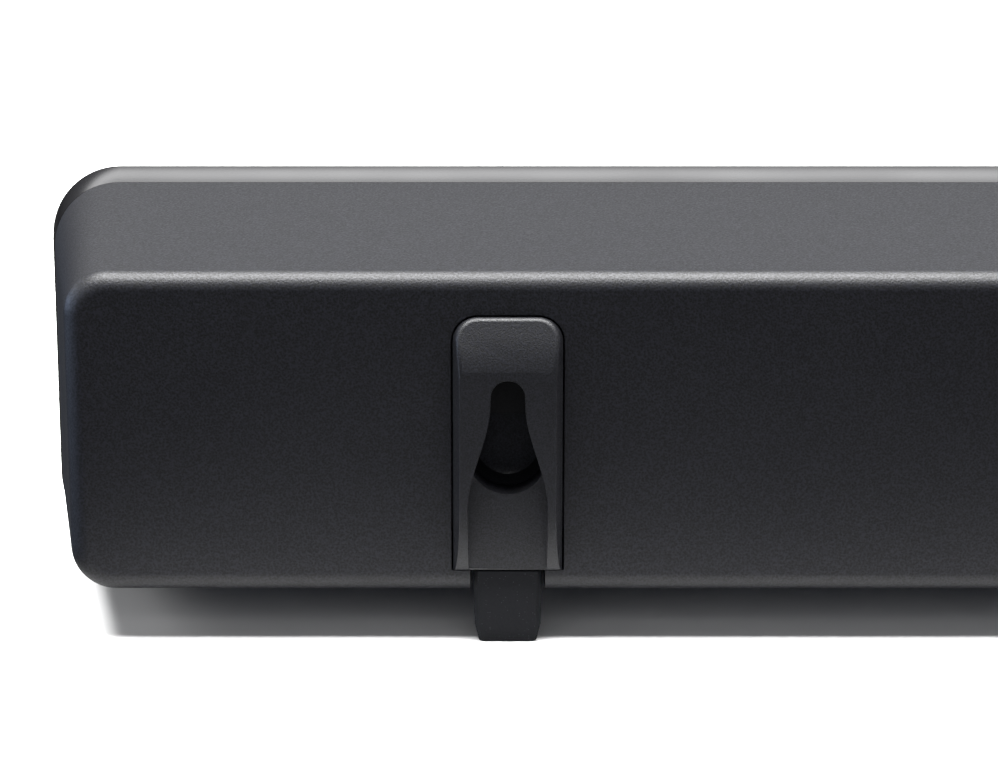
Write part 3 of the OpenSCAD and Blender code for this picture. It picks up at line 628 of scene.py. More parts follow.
def finish_for(slot):
    """The material of one of the record's slots, made the first time it is asked for."""
    if slot not in _made:
        look = finish()
        recipes = {
            # grained mouldings: colour, roughness, grain size, grain depth, gleam, painted light on the
            # grain's peaks and shade in its pits
            "textured_abs": (moulded_plastic, look.housing, 0.46, look.grain, look.grain_depth, 0.25, 1.9),
            "hanger_abs": (moulded_plastic, look.housing, 0.46, look.grain * 0.8, look.grain_depth, 0.3, 1.9),
            # a darker copy of the housing plastic: painted shade for the cups deep in the keyholes
            "pocket_abs_painted_shade": (moulded_plastic, scaled(look.housing, 0.6), 0.5, 0.3 * MM, 0.02 * MM, 0.2),
            "button_abs": (moulded_plastic, scaled(look.housing, 1.4), 0.5, 0.22 * MM, 0.012 * MM),
            "foot_core": (moulded_plastic, (0.02, 0.02, 0.022), 0.45, 0.2 * MM, 0.01 * MM),
            "white_plastic": (moulded_plastic, (0.80, 0.80, 0.78), 0.55, 0.3 * MM, 0.004 * MM, 0.5, 1.1),
            "port_plastic": (moulded_plastic, (0.01, 0.01, 0.01), 0.4, 0.2 * MM, 0.004 * MM),
            "chip_epoxy": (moulded_plastic, (0.015, 0.015, 0.016), 0.55, 0.15 * MM, 0.006 * MM),
            "ferrite": (moulded_plastic, (0.05, 0.047, 0.045), 0.6, 0.2 * MM, 0.01 * MM),
            "switch_body": (moulded_plastic, (0.02, 0.02, 0.02), 0.5, 0.2 * MM, 0.004 * MM),
            # polished mouldings: colour, roughness, gleam
            "gloss_abs": (polished_plastic, look.bezel, 0.16, 0.6),
            "trim_abs": (polished_plastic, look.bezel, 0.16, 0.6),
            "connector_nylon": (polished_plastic, (0.74, 0.70, 0.58), 0.35),
            "flat_lead": (polished_plastic, (0.75, 0.75, 0.72), 0.3),
            "capacitor_sleeve": (polished_plastic, (0.02, 0.025, 0.05), 0.2),
            "switch_stem": (polished_plastic, (0.5, 0.08, 0.02), 0.3),
            "warm_lamp": (polished_plastic, (0.85, 0.55, 0.12), 0.25),
            "cool_lamp": (polished_plastic, (0.85, 0.80, 0.35), 0.25),
            # soft parts: colour, roughness
            "foot_rubber": (rubber, look.rubber),
            "pad_rubber": (rubber, scaled(look.rubber, 0.8), 0.7),
            "gasket_foam": (rubber, (0.02, 0.02, 0.02), 0.8),
            "thermal_pad": (rubber, (0.20, 0.27, 0.36), 0.6),
            # metals: colour, roughness
            "aluminium_sheet": (metal, (0.80, 0.81, 0.83), 0.32),
            "zinc_steel": (metal, (0.70, 0.71, 0.74), 0.26),
            "black_steel": (metal, (0.035, 0.035, 0.04), 0.35),
            "pin_steel": (metal, (0.68, 0.69, 0.70), 0.18),
            "port_steel": (metal, (0.62, 0.62, 0.64), 0.2),
            # the rest: their colours
            "opal_acrylic": (opal, (0.90, 0.90, 0.87)),
            "clear_acrylic": (glassy, (0.95, 0.98, 1.0)),
            "green_board": (circuit_board, (0.008, 0.075, 0.03), (0.02, 0.13, 0.05)),
            "white_board": (circuit_board, (0.78, 0.78, 0.75), (0.70, 0.70, 0.66)),
        }
        make, *values = recipes[slot]
        _made[slot] = make(slot, *values)
    return _made[slot]


# ---------------------------------------------------------------- hangers

HANGER_LOW, HANGER_TOP = 12.1 * MM, 51.2 * MM
HANGER_HALF = 8.3 * MM
HANGER_CORNER = 3.8 * MM
HANGER_GAP = 0.25 * MM
RAMP_END = 43.4 * MM
CURVE_START = 23.0 * MM
LIP = 0.7 * MM
SLOT_W, CHANNEL_W = 5.2 * MM, 12.2 * MM
SLOT_TOP, FLARE_TOP, FLARE_LOW = 42.1 * MM, 38.5 * MM, 22.0 * MM
ENTRY_Z, ENTRY_R = 29.9 * MM, 5.9 * MM
PLATE_T = 1.8 * MM
FLOOR_PROUD = 0.6 * MM
FLOOR_LEAN, FLOOR_CURL = 0.05, 2.6
FLANGE_Z = (17.6 * MM, 53.0 * MM)
POCKET_PAST = 3 * MM
BOWL_LOW, BOWL_RISE = 26.3 * MM, 9 * MM
BOWL_BACK, BOWL_DEPTH = 5.2 * MM, 2.9 * MM
BOWL_CENTRE_Z, BOWL_R = 31.6 * MM, 5.2 * MM


def keyhole_points(x, s):
    """The slot's round top, its flare into the channel, and the channel's open foot."""
    half = SLOT_W / 2
    crown = [(half * cos(a), SLOT_TOP - half + half * sin(a)) for a in
             [radians(15 * i) for i in range(13)]]
    flare = []
    for i in range(1, 15):
        t = i / 14
        ease = t * t * (3 - 2 * t)
        flare.append((half + (CHANNEL_W / 2 - half) * ease, FLARE_TOP + (FLARE_LOW - FLARE_TOP) * t))
    foot = (CHANNEL_W / 2 - 0.2 * MM, HANGER_LOW - MM)
    left = [(-half, FLARE_TOP)] + [(-w, z) for w, z in flare] + [(-foot[0], foot[1])]
    right = [foot] + [(w, z) for w, z in reversed(flare)] + [(half, FLARE_TOP)]
    return [at(x + w, s, z) for w, z in crown + left + right]


def screw_pocket(x, s_rear, s_front):
    """A cutter for the round entry and for the screw head's run above it."""
    head_r = ENTRY_R - 1.4 * MM
    corner = acos(head_r / ENTRY_R)
    entry = [pi - corner + (pi + 2 * corner) * i / 36 for i in range(37)]
    points = [(ENTRY_R * cos(a), ENTRY_Z + ENTRY_R * sin(a)) for a in entry]
    points += [(head_r * cos(pi * i / 24), SLOT_TOP - 2 * MM + head_r * sin(pi * i / 24)) for i in range(25)]
    return drawn("pocket", [at(x + w, s_front, z) for w, z in points], (0, s_front - s_rear, 0))


def hanger_blank(x):
    """The hanger's solid: a round-topped block with leaning sides, cut to the profile of its face."""
    proud = WALL_FACE_Y - REAR_Y
    piece = block("hanger", at(x - HANGER_HALF, shape().wall, HANGER_LOW),
                  at(x + HANGER_HALF, -proud - MM, HANGER_TOP))
    bevel_edges(piece, lambda e: runs_along(e, 1) and both(e, lambda co: co.z > HANGER_TOP - 1e-6),
                HANGER_CORNER, 12)
    # the sides lean in by one millimetre between the rear face and the wall face
    add_ring(piece, at(x, 0, 0), (0, 1, 0))
    pick(piece, "VERT", lambda v: v.co.y > WALL_FACE_Y)
    lean = MM * (proud + MM) / proud
    bpy.ops.transform.resize(value=(1 - lean / HANGER_HALF, 1, 1), center_override=at(x, -proud, HANGER_LOW))
    bpy.ops.object.mode_set(mode="OBJECT")
    steps = 16
    drop = CURVE_START - HANGER_LOW
    curve = [(-proud + (proud - LIP) * (1 - (1 - 0.96 * t * t) ** 0.5) / 0.8, CURVE_START - drop * t)
             for t in [sin(pi / 2 * i / steps) for i in range(steps + 1)]]
    above = (HANGER_TOP - RAMP_END + MM) / (HANGER_TOP - RAMP_END)
    back = shape().wall + MM
    face = [(back, HANGER_TOP + MM), (-proud + (proud - LIP) * above, HANGER_TOP + MM), (-proud, RAMP_END)]
    points = face + curve + [(-LIP, HANGER_LOW - MM), (back, HANGER_LOW - MM)]
    profile = drawn("profile", [at(x - 12 * MM, s, z) for s, z in points], (24 * MM, 0, 0))
    return combine(piece, [profile], "INTERSECT")


def channel_cutter(x):
    """Everything outside the channel's floor, which curls gently back to the housing."""
    top, low = ENTRY_Z, HANGER_LOW - MM
    floor = []
    for i in range(15):
        drop = (top - low) * i / 14
        floor.append((-FLOOR_PROUD - FLOOR_LEAN * drop + FLOOR_CURL * drop * drop, top - drop))
    points = [at(x - 8 * MM, s, z) for s, z in [(-6 * MM, top)] + floor + [(-6 * MM, low)]]
    side = drawn("channel_side", points, (16 * MM, 0, 0))
    channel = drawn("channel", keyhole_points(x, 2 * MM), (0, 8 * MM, 0))
    return combine(channel, [side], "INTERSECT")


def keyhole_bowl(x):
    """The curved seat at the back of a keyhole's pocket, which carries the screw's head up the slot."""
    turns = [sin(pi / 2 * i / 10) for i in range(11)]
    curve = [(BOWL_BACK - BOWL_DEPTH * turn, BOWL_LOW + BOWL_RISE * (1 - turn) ** 1.5) for turn in turns]
    points = [at(x - 6 * MM, s, z) for s, z in curve + [(BOWL_BACK, BOWL_LOW)]]
    wedge = drawn("keyhole_bowl", points, (12 * MM, 0, 0))
    round_wall = rod("round", at(x, MM, BOWL_CENTRE_Z), at(x, 6 * MM, BOWL_CENTRE_Z), BOWL_R, 64)
    return combine(wedge, [round_wall], "INTERSECT")


class LIGHTBAR_OT_hangers(bpy.types.Operator):
    """Keyhole hangers: a sloped plate with a flared slot, and the screw's pocket behind it"""
    bl_idname = "light_bar.hangers"
    bl_label = "Hangers"

    def execute(self, context):
        proud = WALL_FACE_Y - REAR_Y
        wall = shape().wall
        for side in SIDES:
            x = HANGER_X[side]
            low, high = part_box("hanger_" + side)
            piece = hanger_blank(x)
            # roll the ramp's sides and top over
            bevel_edges(piece, lambda e: both(e, lambda co: co.z > RAMP_END - 1e-5
                                              and co.y > REAR_Y + LIP * 0.6)
                        and e.calc_face_angle(0) > radians(40), 0.6 * MM, 6)
            plate_back = PLATE_T - proud
            combine(piece, [drawn("slot", keyhole_points(x, plate_back + 0.2 * MM), (0, proud + MM, 0))])
            combine(piece, [channel_cutter(x)])
            combine(piece, [screw_pocket(x, plate_back, wall + POCKET_PAST)])
            # break every crisp outer edge finely, but not the rim behind the plate
            bevel_edges(piece, lambda e: both(e, lambda co: co.y > REAR_Y + 0.3 * MM
                                              and abs(REAR_Y - co.y - plate_back) > 0.02 * MM
                                              and HANGER_LOW + 0.1 * MM < co.z < RAMP_END - 0.1 * MM)
                        and e.calc_face_angle(0) > radians(45), 0.1 * MM, 2, clamp_overlap=False)
            combine(piece, [block("flange", (low.x, REAR_Y - wall - 2 * MM, FLANGE_Z[0]),
                                  (high.x, REAR_Y - wall, FLANGE_Z[1]))], "UNION")
            combine(piece, [screw_pocket(x, 0, wall + POCKET_PAST)])
            smooth(piece)
            settle(piece, "keyhole_hanger_" + side, "housing", "hanger_abs", "hanger_" + side)
            bowl = keyhole_bowl(x)
            smooth(bowl)
            settle(bowl, "keyhole_bowl_" + side, "housing", "hanger_abs")
        return {"FINISHED"}


# ---------------------------------------------------------------- rear shell

HINGE_S, HINGE_Z = 6.0 * MM, 12.5 * MM
POCKET_HALF = 5.75 * MM
POCKET_DEPTH, POCKET_CEILING = 19.4 * MM, 15.5 * MM
NOTCH_TOP = 12.0 * MM
POCKET_WALL = 2.5 * MM


def foot_block(x):
    """The walls round a foot's pocket, inside the shell."""
    back, front = 2.0 * MM, POCKET_DEPTH + 1.8 * MM
    roof = POCKET_CEILING + 1.7 * MM
    left = x - POCKET_HALF - POCKET_WALL
    points = [at(left, back, bottom_z(back) + MM), at(left, front, bottom_z(front) + MM),
              at(left, front, roof), at(left, back, roof)]
    return drawn("foot_block", points, (2 * (POCKET_HALF + POCKET_WALL), 0, 0))


def foot_pocket(x):
    """Cutters for a foot's pocket and for its notch in the rear face."""
    return [
        block("notch", at(x - POCKET_HALF, POCKET_DEPTH, -MM), at(x + POCKET_HALF, -MM, NOTCH_TOP)),
        block("pocket", at(x - POCKET_HALF, POCKET_DEPTH, 0), at(x + POCKET_HALF, 3.2 * MM, POCKET_CEILING)),
    ]


def button_centre(name):
    low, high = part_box(name + "_button")
    return (low + high) / 2


def top_normal():
    return Vector((0, shape().top_slope, 1)).normalized()


def on_top(x, s, depth):
    """A point at this depth below the top face."""
    return at(x, s, top_z(s)) - top_normal() * depth


def stand_on_top(piece, x, s):
    """Turns a piece modelled flat at the origin square to the top face and moves it there."""
    take(piece)
    slope = Vector((0, 0, 1)).rotation_difference(top_normal())
    piece.rotation_mode = "QUATERNION"
    piece.rotation_quaternion = slope
    piece.location = at(x, s, top_z(s))
    bpy.ops.object.transform_apply(location=True, rotation=True, scale=True)
    return piece


BUTTON_S = 22.0 * MM
PILL = (13.0 * MM, 7.5 * MM)
BUTTON_GAP = 0.2 * MM
PIPE_X = -34.5 * MM
LUG_S, LUG_X = 46.0 * MM, (-190 * MM, -65 * MM, 65 * MM, 190 * MM)
LUG_HALF, LUG_TOP = 5 * MM, 9 * MM
INLET_DISH, INLET_MOUTH = (16 * MM, 9 * MM), (9.6 * MM, 3.9 * MM)
BUTTON_POST_X = (-41 * MM, 41 * MM)
# centres (x, z); radius and end of the post; radius, start and end of its screw hole
POSTS = (
    ([(x * MM, z * MM) for x in (-200, -100, 100, 200) for z in (18.5, 47.5)],
     (3.5 * MM, 30.4 * MM), (1.25 * MM, 21.4 * MM, 31.4 * MM)),
    ([(x * MM, z * MM) for x in (-54, 54) for z in (20, 46)],
     (3 * MM, 9 * MM), (MM, 3 * MM, 10 * MM)),
    ([(HANGER_X[side] + x * MM, z * MM) for side in SIDES for x in (-13, 13) for z in (21.5, 49)],
     (2.8 * MM, 4.5 * MM), (1.2 * MM, 1.2 * MM, 6.2 * MM)),
)


def button_blank(name, grow, low, high):
    """A button's outline as a solid at the origin, round for the power button."""
    length, width = PILL
    if name == "power":
        length = width
    return rounded_flat(name + "_blank", length + 2 * grow, width + 2 * grow, low, high)


def rounded_flat(name, length, width, low, high):
    """A pill lying flat at the origin between two heights."""
    piece = block(name, (-length / 2, -width / 2, low), (length / 2, width / 2, high))
    bevel_edges(piece, lambda e: runs_along(e, 2), width / 2 - 1e-6, 16)
    bpy.ops.object.mode_set(mode="EDIT")
    bpy.ops.mesh.select_all(action="SELECT")
    bpy.ops.mesh.remove_doubles(threshold=1e-5)
    bpy.ops.object.mode_set(mode="OBJECT")
    return piece


class LIGHTBAR_OT_rear_shell(bpy.types.Operator):
    """Rear shell: a tapered, rounded moulding with its openings, posts and foot pockets"""
    bl_idname = "light_bar.rear_shell"
    bl_label = "Rear shell"

    def execute(self, context):
        wall = shape().wall
        shell = tapered("rear_shell_moulding", 0.0, SEAM_S)
        round_rim(shell, REAR_Y, shape().rear_fillet, 12)
        pick(shell, "FACE", lambda f: f.normal.y < -0.9)
        bpy.ops.mesh.delete(type="FACE")
        modify(shell, "SOLIDIFY", thickness=wall, offset=-1, use_even_offset=True)
        # hangers' openings, with a fine broken edge that catches the light
        for side in SIDES:
            x = HANGER_X[side]
            cutter = block("opening", at(x - HANGER_HALF - HANGER_GAP, wall + MM, HANGER_LOW - HANGER_GAP),
                           at(x + HANGER_HALF + HANGER_GAP, -MM, HANGER_TOP + HANGER_GAP))
            bevel_edges(cutter, lambda e: runs_along(e, 1) and both(e, lambda co: co.z > HANGER_TOP),
                        HANGER_CORNER + HANGER_GAP, 12)
            combine(shell, [cutter])
            bevel_edges(shell, lambda e: both(e, lambda co: abs(co.y - REAR_Y) < 1e-6
                                              and abs(co.x - x) < HANGER_HALF + 2 * HANGER_GAP
                                              and HANGER_LOW - MM < co.z < HANGER_TOP + MM)
                        and e.calc_face_angle(0) > radians(60), 0.12 * MM, 2)
        inside = [foot_block(HANGER_X[side]) for side in SIDES]
        holes = []
        for centres, (post_r, post_end), (hole_r, hole_start, hole_end) in POSTS:
            for x, z in centres:
                inside.append(rod("post", at(x, wall - 0.5 * MM, z), at(x, post_end, z), post_r))
                holes.append(rod("hole", at(x, hole_start, z), at(x, hole_end, z), hole_r))
        for x in BUTTON_POST_X:
            inside.append(rod("post", on_top(x, BUTTON_S, MM), on_top(x, BUTTON_S, 6.05 * MM), 2.6 * MM))
            holes.append(rod("hole", on_top(x, BUTTON_S, 2.05 * MM), on_top(x, BUTTON_S, 7 * MM), 0.8 * MM))
        combine(shell, inside, "UNION")
        for name in BUTTONS:
            cutter = button_blank(name, BUTTON_GAP, -wall - MM, MM)
            holes.append(stand_on_top(cutter, button_centre(name).x, BUTTON_S))
        holes.append(rod("hole", on_top(PIPE_X, BUTTON_S, -MM), on_top(PIPE_X, BUTTON_S, wall + MM),
                         1.05 * MM))
        combine(shell, holes)
        for side in SIDES:
            for cutter in foot_pocket(HANGER_X[side]):
                combine(shell, [cutter])
            x = HANGER_X[side]
            reach = POCKET_HALF + POCKET_WALL
            combine(shell, [rod("pin_hole", at(x - reach, HINGE_S, HINGE_Z), at(x + reach, HINGE_S, HINGE_Z),
                                MM)])
        for (width, height), depth, steps in ((INLET_DISH, 0.6 * MM, 12), (INLET_MOUTH, wall + MM, 10)):
            combine(shell, [rounded_plate("inlet", (0, INLET_Z), width, height, height / 2 - 0.01 * MM, -MM,
                                          depth, steps)])
        for x in LUG_X:
            seat = bottom_z(LUG_S) + 1.1 * MM
            combine(shell, [rod("sink", (x, REAR_Y - LUG_S, -MM), (x, REAR_Y - LUG_S, seat), 3 * MM)])
            combine(shell, [rod("hole", (x, REAR_Y - LUG_S, -MM), (x, REAR_Y - LUG_S, 8 * MM), 1.5 * MM)])
        smooth(shell)
        settle(shell, "rear_shell_moulding", "housing", "textured_abs", "rear_shell")
        return {"FINISHED"}


# ---------------------------------------------------------------- front

WINDOW_CORNER = 6 * MM
WINDOW_FLANGE = 1.6 * MM
REBATE = 1.8 * MM
LIP_S = BEZEL_END_S - 1.6 * MM


def window_plate(name, grow, s_rear, s_front):
    """A plate with the lit window's outline, grown all round."""
    low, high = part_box("diffuser")
    change = 2 * (grow - WINDOW_FLANGE)
    return rounded_plate(name, (0, (low.z + high.z) / 2), high.x - low.x + change, high.z - low.z + change,
                         WINDOW_CORNER + grow, s_rear, s_front, 12)


class LIGHTBAR_OT_front(bpy.types.Operator):
    """Polished bezel with its tongue and screw lugs, the thin trim frame and the opal window"""
    bl_idname = "light_bar.front"
    bl_label = "Bezel, trim and window"

    def execute(self, context):
        wall = shape().wall
        bezel = tapered("polished_bezel", SEAM_S + SEAM_GAP, BEZEL_END_S)
        crown(bezel, SEAM_S + SEAM_GAP, BEZEL_END_S, 8)
        tongue = tapered("tongue", 46.6 * MM, SEAM_S + MM, wall + 0.2 * MM)
        combine(bezel, [tongue], "UNION")
        combine(bezel, [window_plate("through", 0, SEAM_S - 10 * MM, FRONT_S + 5 * MM)])
        combine(bezel, [window_plate("seat", REBATE, SEAM_S - 10 * MM, LIP_S)])
        start, end, above = LUG_S - 3 * MM, SEAM_S + MM, wall + 0.1 * MM
        outline = ((start, bottom_z(start) + above), (end, bottom_z(end) + above),
                   (end, LUG_TOP), (start, LUG_TOP))
        combine(bezel, [drawn("lug", [at(x - LUG_HALF, s, z) for s, z in outline], (2 * LUG_HALF, 0, 0))
                        for x in LUG_X], "UNION")
        combine(bezel, [rod("hole", at(x, LUG_S, 0), at(x, LUG_S, 14 * MM), 1.25 * MM) for x in LUG_X])
        smooth(bezel, 30)
        settle(bezel, "polished_bezel", "housing", "gloss_abs", "front_bezel")

        trim = tapered("trim_frame", BEZEL_END_S, FRONT_S)
        crown(trim, BEZEL_END_S, FRONT_S, 1)
        round_rim(trim, REAR_Y - FRONT_S, 0.4 * MM, 5)
        combine(trim, [window_plate("through", 0.6 * MM, SEAM_S, FRONT_S + 5 * MM)])
        smooth(trim, 30)
        settle(trim, "trim_frame", "housing", "trim_abs", "front_trim")

        low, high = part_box("diffuser")
        rear_s, front_s = REAR_Y - high.y, REAR_Y - low.y
        pane = window_plate("opal_window", -0.15 * MM, rear_s, front_s)
        round_rim(pane, REAR_Y - front_s, 0.35 * MM, 4)
        combine(pane, [window_plate("flange", WINDOW_FLANGE, rear_s, rear_s + 1.7 * MM)], "UNION")
        combine(pane, [block("relief", at(x - 5.3 * MM, rear_s + 3 * MM, 0),
                             at(x + 5.3 * MM, rear_s - MM, 9.15 * MM)) for x in LUG_X])
        smooth(pane, 30)
        settle(pane, "opal_window", "housing", "opal_acrylic", "diffuser")
        return {"FINISHED"}


# ---------------------------------------------------------------- feet and pads

BOOT_BEVEL = 2.9 * MM
PAD_HALF, PAD_GAP = 12 * MM, 0.02 * MM


class LIGHTBAR_OT_feet(bpy.types.Operator):
    """Rubber boots of the fold-away feet, bevelled at the bottom, with a hollow for the leg"""
    bl_idname = "light_bar.feet"
    bl_label = "Foot boots and front pads"

    def execute(self, context):
        for side in SIDES:
            low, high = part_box("foot_boot_" + side)
            x = (low.x + high.x) / 2
            boot = block("boot", low, high)
            middle = (low.y + high.y) / 2
            bevel_edges(boot, lambda e: runs_along(e, 2), 0.8 * MM, 1)
            add_ring(boot, (x, 0, BOOT_BEVEL), (0, 0, 1))
            for z, inset in ((0, 0.9 * MM), (BOOT_BEVEL, 0.2 * MM)):
                pick(boot, "VERT", lambda v: abs(v.co.z - z) < 1e-6)
                bpy.ops.transform.resize(value=(1 - 2 * inset / (high.x - low.x),
                                                1 - 2 * inset / (high.y - low.y), 1),
                                         center_override=(x, middle, 0))
            bpy.ops.object.mode_set(mode="OBJECT")
            round_edges(boot, 0.2 * MM, 3, 25)
            knuckle = rod("knuckle", (low.x - MM, REAR_Y - HINGE_S, HINGE_Z),
                          (high.x + MM, REAR_Y - HINGE_S, HINGE_Z), 2.55 * MM, 48)
            combine(boot, [knuckle])
            combine(boot, [block("blade", at(x - 3.4 * MM, 5.5 * MM, 2.8 * MM),
                                 at(x + 3.4 * MM, 2.9 * MM, 11.5 * MM))])
            smooth(boot, 30)
            settle(boot, "rubber_boot_" + side, "foot_" + side, "foot_rubber", "foot_boot_" + side)
        low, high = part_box("front_pads")
        start, end = REAR_Y - high.y, REAR_Y - low.y
        outline = ((start, 0), (end, 0), (end, bottom_z(end) - PAD_GAP), (start, bottom_z(start) - PAD_GAP))
        pads = []
        for side in SIDES:
            points = [at(HANGER_X[side] - PAD_HALF, s, z) for s, z in outline]
            pads.append(round_edges(drawn("pad", points, (2 * PAD_HALF, 0, 0)), 0.5 * MM, 4))
        pads = joined(pads)
        smooth(pads, 30)
        settle(pads, "rubber_front_pads", "housing", "pad_rubber", "front_pads")
        return {"FINISHED"}


# ---------------------------------------------------------------- buttons

CAP_PROUD = 0.5 * MM
DISH_STEP, DISH_DROPS = 0.9 * MM, (0.12 * MM, 0.10 * MM)


class LIGHTBAR_OT_buttons(bpy.types.Operator):
    """Button caps: dished tops, rounded rims, a retaining flange and a pusher below"""
    bl_idname = "light_bar.buttons"
    bl_label = "Button caps"

    def execute(self, context):
        wall = shape().wall
        for name in BUTTONS:
            cap = button_blank(name, 0, -wall - 0.06 * MM, CAP_PROUD)
            pick(cap, "FACE", lambda f: f.normal.z > 0.9)
            for drop in DISH_DROPS:
                bpy.ops.mesh.inset(thickness=DISH_STEP)
                bpy.ops.transform.translate(value=(0, 0, -drop))
            bevel_edges(cap, lambda e: both(e, lambda co: co.z > CAP_PROUD - 1e-6), 0.25 * MM, 4)
            flange = button_blank(name, 0.7 * MM, -wall - 0.86 * MM, -wall - 0.05 * MM)
            pusher = rod("pusher", (0, 0, -4.05 * MM), (0, 0, -wall - 0.5 * MM), 1.5 * MM)
            combine(cap, [flange], "UNION")
            combine(cap, [pusher], "UNION")
            stand_on_top(cap, button_centre(name).x, BUTTON_S)
            smooth(cap, 40)
            settle(cap, name + "_cap", name, "button_abs", name + "_button")
        return {"FINISHED"}


# ---------------------------------------------------------------- CAD nodes that stay

class LIGHTBAR_OT_inner_parts(bpy.types.Operator):
    """Gives every CAD node the material of its slot, but the hanger cups a darker copy of the housing
    plastic: painted shade deep in the keyholes
    """
    bl_idname = "light_bar.inner_parts"
    bl_label = "Finish the inner parts"

    def execute(self, context):
        slots = {part["node"]: part["material_slot"] for part in frame["record"]["subparts"]}
        # the cups behind the keyholes take a darker copy of the housing plastic, painted shade in the recess
        slots["hanger_cup_left"] = slots["hanger_cup_right"] = "pocket_abs_painted_shade"
        for name, part in frame["nodes"].items():
            part.data.materials.clear()
            part.data.materials.append(finish_for(slots[name]))
        return {"FINISHED"}


# ---------------------------------------------------------------- stage

def area_light(name, place, aim, size, radiance, colour=(1, 1, 1)):
    """A soft rectangular light of the given radiance."""
    clear_selection()
    bpy.ops.object.light_add(type="AREA", location=place)
    lamp = bpy.context.object
    lamp.name = name
    lamp.data.shape = "RECTANGLE"
    lamp.data.size, lamp.data.size_y = size
    lamp.data.energy = radiance * pi * size[0] * size[1]
    lamp.data.color = colour
    lamp.rotation_euler = (Vector(aim) - Vector(place)).to_track_quat("-Z", "Y").to_euler()
    return lamp


def window(tree, value, rise, fall=None):
    """One inside a range of values and nothing outside it, with soft edges."""
    inside = remapped(tree, value, rise, interpolation_type="SMOOTHSTEP")
    if fall:
        past = remapped(tree, value, fall, interpolation_type="SMOOTHSTEP")
        inside = math(tree, "MULTIPLY", inside, math(tree, "SUBTRACT", 1.0, past))
    return inside


WALL_LEVEL, ENDS_LEVEL, BASE_LEVEL = 2.1, 2.4, 0.01
FAR_END_SHARE = 0.3
BAND_LEVEL, BAND_COLOUR = 0.8, (0.92, 0.98, 1.2)


def studio_world():
    """A dim studio with a bright strip of wall before the object, a dimmer one behind the camera and
    lit ends. The camera itself sees plain white."""
    world = bpy.data.worlds.new("studio")
    bpy.context.scene.world = world
    world.use_nodes = True
    tree = world.node_tree
    back = tree.nodes["Background"]
    way = tree.nodes.new("ShaderNodeTexCoord").outputs["Generated"]
    x, y, z = node(tree, "ShaderNodeSeparateXYZ", [(0, way)]).outputs
    away, left = math(tree, "MULTIPLY", y, -1.0), math(tree, "MULTIPLY", x, -1.0)
    wall = math(tree, "MULTIPLY", window(tree, z, (0.30, 0.40), (0.44, 0.54)), window(tree, away, (0.1, 0.4)))
    near = math(tree, "MULTIPLY", window(tree, z, (0.08, 0.16), (0.20, 0.30)), window(tree, y, (0.1, 0.4)))
    ends = math(tree, "ADD", window(tree, x, (0.7, 0.85)),
                math(tree, "MULTIPLY", window(tree, left, (0.7, 0.85)), FAR_END_SHARE))
    high = math(tree, "MULTIPLY", ends, window(tree, z, (0.2, 0.4), (0.7, 0.9)))
    lit = math(tree, "MULTIPLY_ADD", high, ENDS_LEVEL, BASE_LEVEL)
    lit = math(tree, "MULTIPLY_ADD", wall, WALL_LEVEL, lit)
    band = math(tree, "MULTIPLY", near, BAND_LEVEL)
    shades = [node(tree, "ShaderNodeVectorMath", [(0, colour), ("Scale", level)], operation="SCALE")
              for colour, level in (((1, 1, 1), lit), (BAND_COLOUR, band))]
    total = node(tree, "ShaderNodeVectorMath", [(i, shade.outputs[0]) for i, shade in enumerate(shades)],
                 operation="ADD").outputs[0]
    seen = tree.nodes.new("ShaderNodeLightPath").outputs["Is Camera Ray"]
    mix = tree.nodes.new("ShaderNodeMix")
    mix.data_type = "RGBA"
    tree.links.new(seen, mix.inputs["Factor"])
    tree.links.new(total, mix.inputs["A"])
    mix.inputs["B"].default_value = (1, 1, 1, 1)
    tree.links.new(mix.outputs["Result"], back.inputs["Color"])


NEAR_SHARE, FAR_SHARE = 0.66, 0.01


def white_floor(board_from):
    """White board. The camera sees it fade to pure white away from the object; to light that bounces off
    it, it is bright only beside the object."""
    material, tree, shader, place = new_material("white_floor")
    tone = node(tree, "ShaderNodeTexNoise", [("Vector", place), ("Scale", 3.0)])
    paint = blend_colours(tree, tone.outputs["Fac"], (0.86, 0.86, 0.86), (0.88, 0.88, 0.88))
    seen = tree.nodes.new("ShaderNodeLightPath").outputs["Is Camera Ray"]
    behind = math(tree, "SUBTRACT", node(tree, "ShaderNodeSeparateXYZ", [(0, place)]).outputs[1], REAR_Y)
    aside = math(tree, "ABSOLUTE", node(tree, "ShaderNodeSeparateXYZ", [(0, place)]).outputs[0])
    near = math(tree, "MULTIPLY", window(tree, behind, (-0.14, -0.03), (0.0, board_from)),
                math(tree, "SUBTRACT", 1.0, window(tree, aside, (0.21, 0.24))))
    share = math(tree, "MAXIMUM", seen, math(tree, "MULTIPLY_ADD", near, NEAR_SHARE, FAR_SHARE))
    dim = node(tree, "ShaderNodeVectorMath", [(0, paint), ("Scale", share)], operation="SCALE").outputs[0]
    tree.links.new(dim, shader.inputs["Base Color"])
    shader.inputs["Roughness"].default_value = 0.9
    shader.inputs["Specular IOR Level"].default_value = 0.0
    reach = node(tree, "ShaderNodeVectorMath", [(0, place)], operation="LENGTH").outputs["Value"]
    glow = math(tree, "MULTIPLY", window(tree, reach, (0.3, 0.8)), seen)
    tree.links.new(glow, shader.inputs["Emission Strength"])
    shader.inputs["Emission Color"].default_value = (1, 1, 1, 1)
    return material


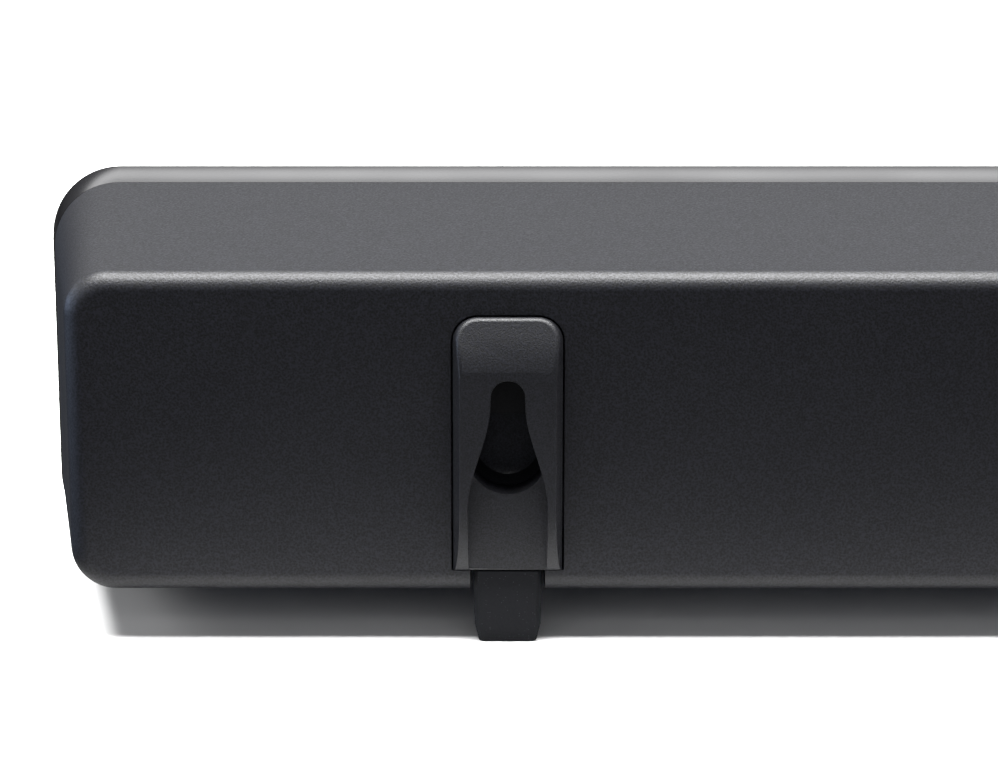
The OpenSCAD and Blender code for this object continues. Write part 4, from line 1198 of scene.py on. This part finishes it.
class LIGHTBAR_OT_stage(bpy.types.Operator):
    """White floor, soft lights and the camera behind the bar's end"""
    bl_idname = "light_bar.stage"
    bl_label = "Stage"

    def execute(self, context):
        setup = context.scene.light_bar_stage
        clear_selection()
        bpy.ops.mesh.primitive_plane_add(size=12, location=(0, 0, -0.02 * MM))
        floor = placed("studio_floor")
        floor.data.materials.append(white_floor(setup.board_from))
        studio_world()
        x = HANGER_X["right"] + setup.aside
        area_light("overhead", (x, REAR_Y + 0.09, 1.0), (x, REAR_Y + 0.09, 0), (1.2, 0.66), 33.0)
        fill = area_light("low_fill", (x, REAR_Y + 0.88, 0.47), (x, REAR_Y, 0), (1.6, 0.42), 1.1)
        fill.visible_glossy = False
        strip = area_light("cool_strip", (1.0, REAR_Y, 0.15), (0.2, REAR_Y, 0.03), (1.0, 0.3), 3.6,
                           (0.78, 1.0, 1.45))
        strip.visible_diffuse = False
        clear_selection()
        bpy.ops.object.camera_add(location=(x, REAR_Y + setup.distance, setup.height),
                                  rotation=(radians(90) - setup.pitch, 0, radians(180)))
        camera = bpy.context.object
        camera.name = "camera"
        camera.data.lens = setup.lens
        camera.data.sensor_width = 36
        camera.data.clip_start = 0.01
        context.scene.camera = camera
        context.scene.view_settings.view_transform = "Standard"
        return {"FINISHED"}


# ---------------------------------------------------------------- add-on

class LIGHTBAR_PT_panel(bpy.types.Panel):
    """Buttons for each group of pieces, in the 3D view's sidebar"""
    bl_label = "Desk Light Bar"
    bl_idname = "LIGHTBAR_PT_panel"
    bl_space_type = "VIEW_3D"
    bl_region_type = "UI"
    bl_category = "Light Bar"

    def draw(self, context):
        for step in STEPS:
            self.layout.operator(step.bl_idname)
        for group in (context.scene.light_bar_shape, context.scene.light_bar_finish,
                      context.scene.light_bar_stage):
            box = self.layout.box()
            for name in group.__annotations__:
                box.prop(group, name)


STEPS = (LIGHTBAR_OT_stage, LIGHTBAR_OT_inner_parts, LIGHTBAR_OT_rear_shell, LIGHTBAR_OT_hangers,
         LIGHTBAR_OT_front, LIGHTBAR_OT_feet, LIGHTBAR_OT_buttons)
CLASSES = (LightBarShape, LightBarFinish, LightBarStage) + STEPS + (LIGHTBAR_PT_panel,)


def register():
    for item in CLASSES:
        bpy.utils.register_class(item)
    bpy.types.Scene.light_bar_shape = PointerProperty(type=LightBarShape)
    bpy.types.Scene.light_bar_finish = PointerProperty(type=LightBarFinish)
    bpy.types.Scene.light_bar_stage = PointerProperty(type=LightBarStage)


def unregister():
    del bpy.types.Scene.light_bar_shape
    del bpy.types.Scene.light_bar_finish
    del bpy.types.Scene.light_bar_stage
    for item in reversed(CLASSES):
        bpy.utils.unregister_class(item)


def main():
    register()
    bpy.ops.light_bar.stage()
    bpy.ops.light_bar.inner_parts()
    bpy.ops.light_bar.rear_shell()
    bpy.ops.light_bar.hangers()
    bpy.ops.light_bar.front()
    bpy.ops.light_bar.feet()
    bpy.ops.light_bar.buttons()
    clear_selection()


if __name__ == "__main__":
    main()
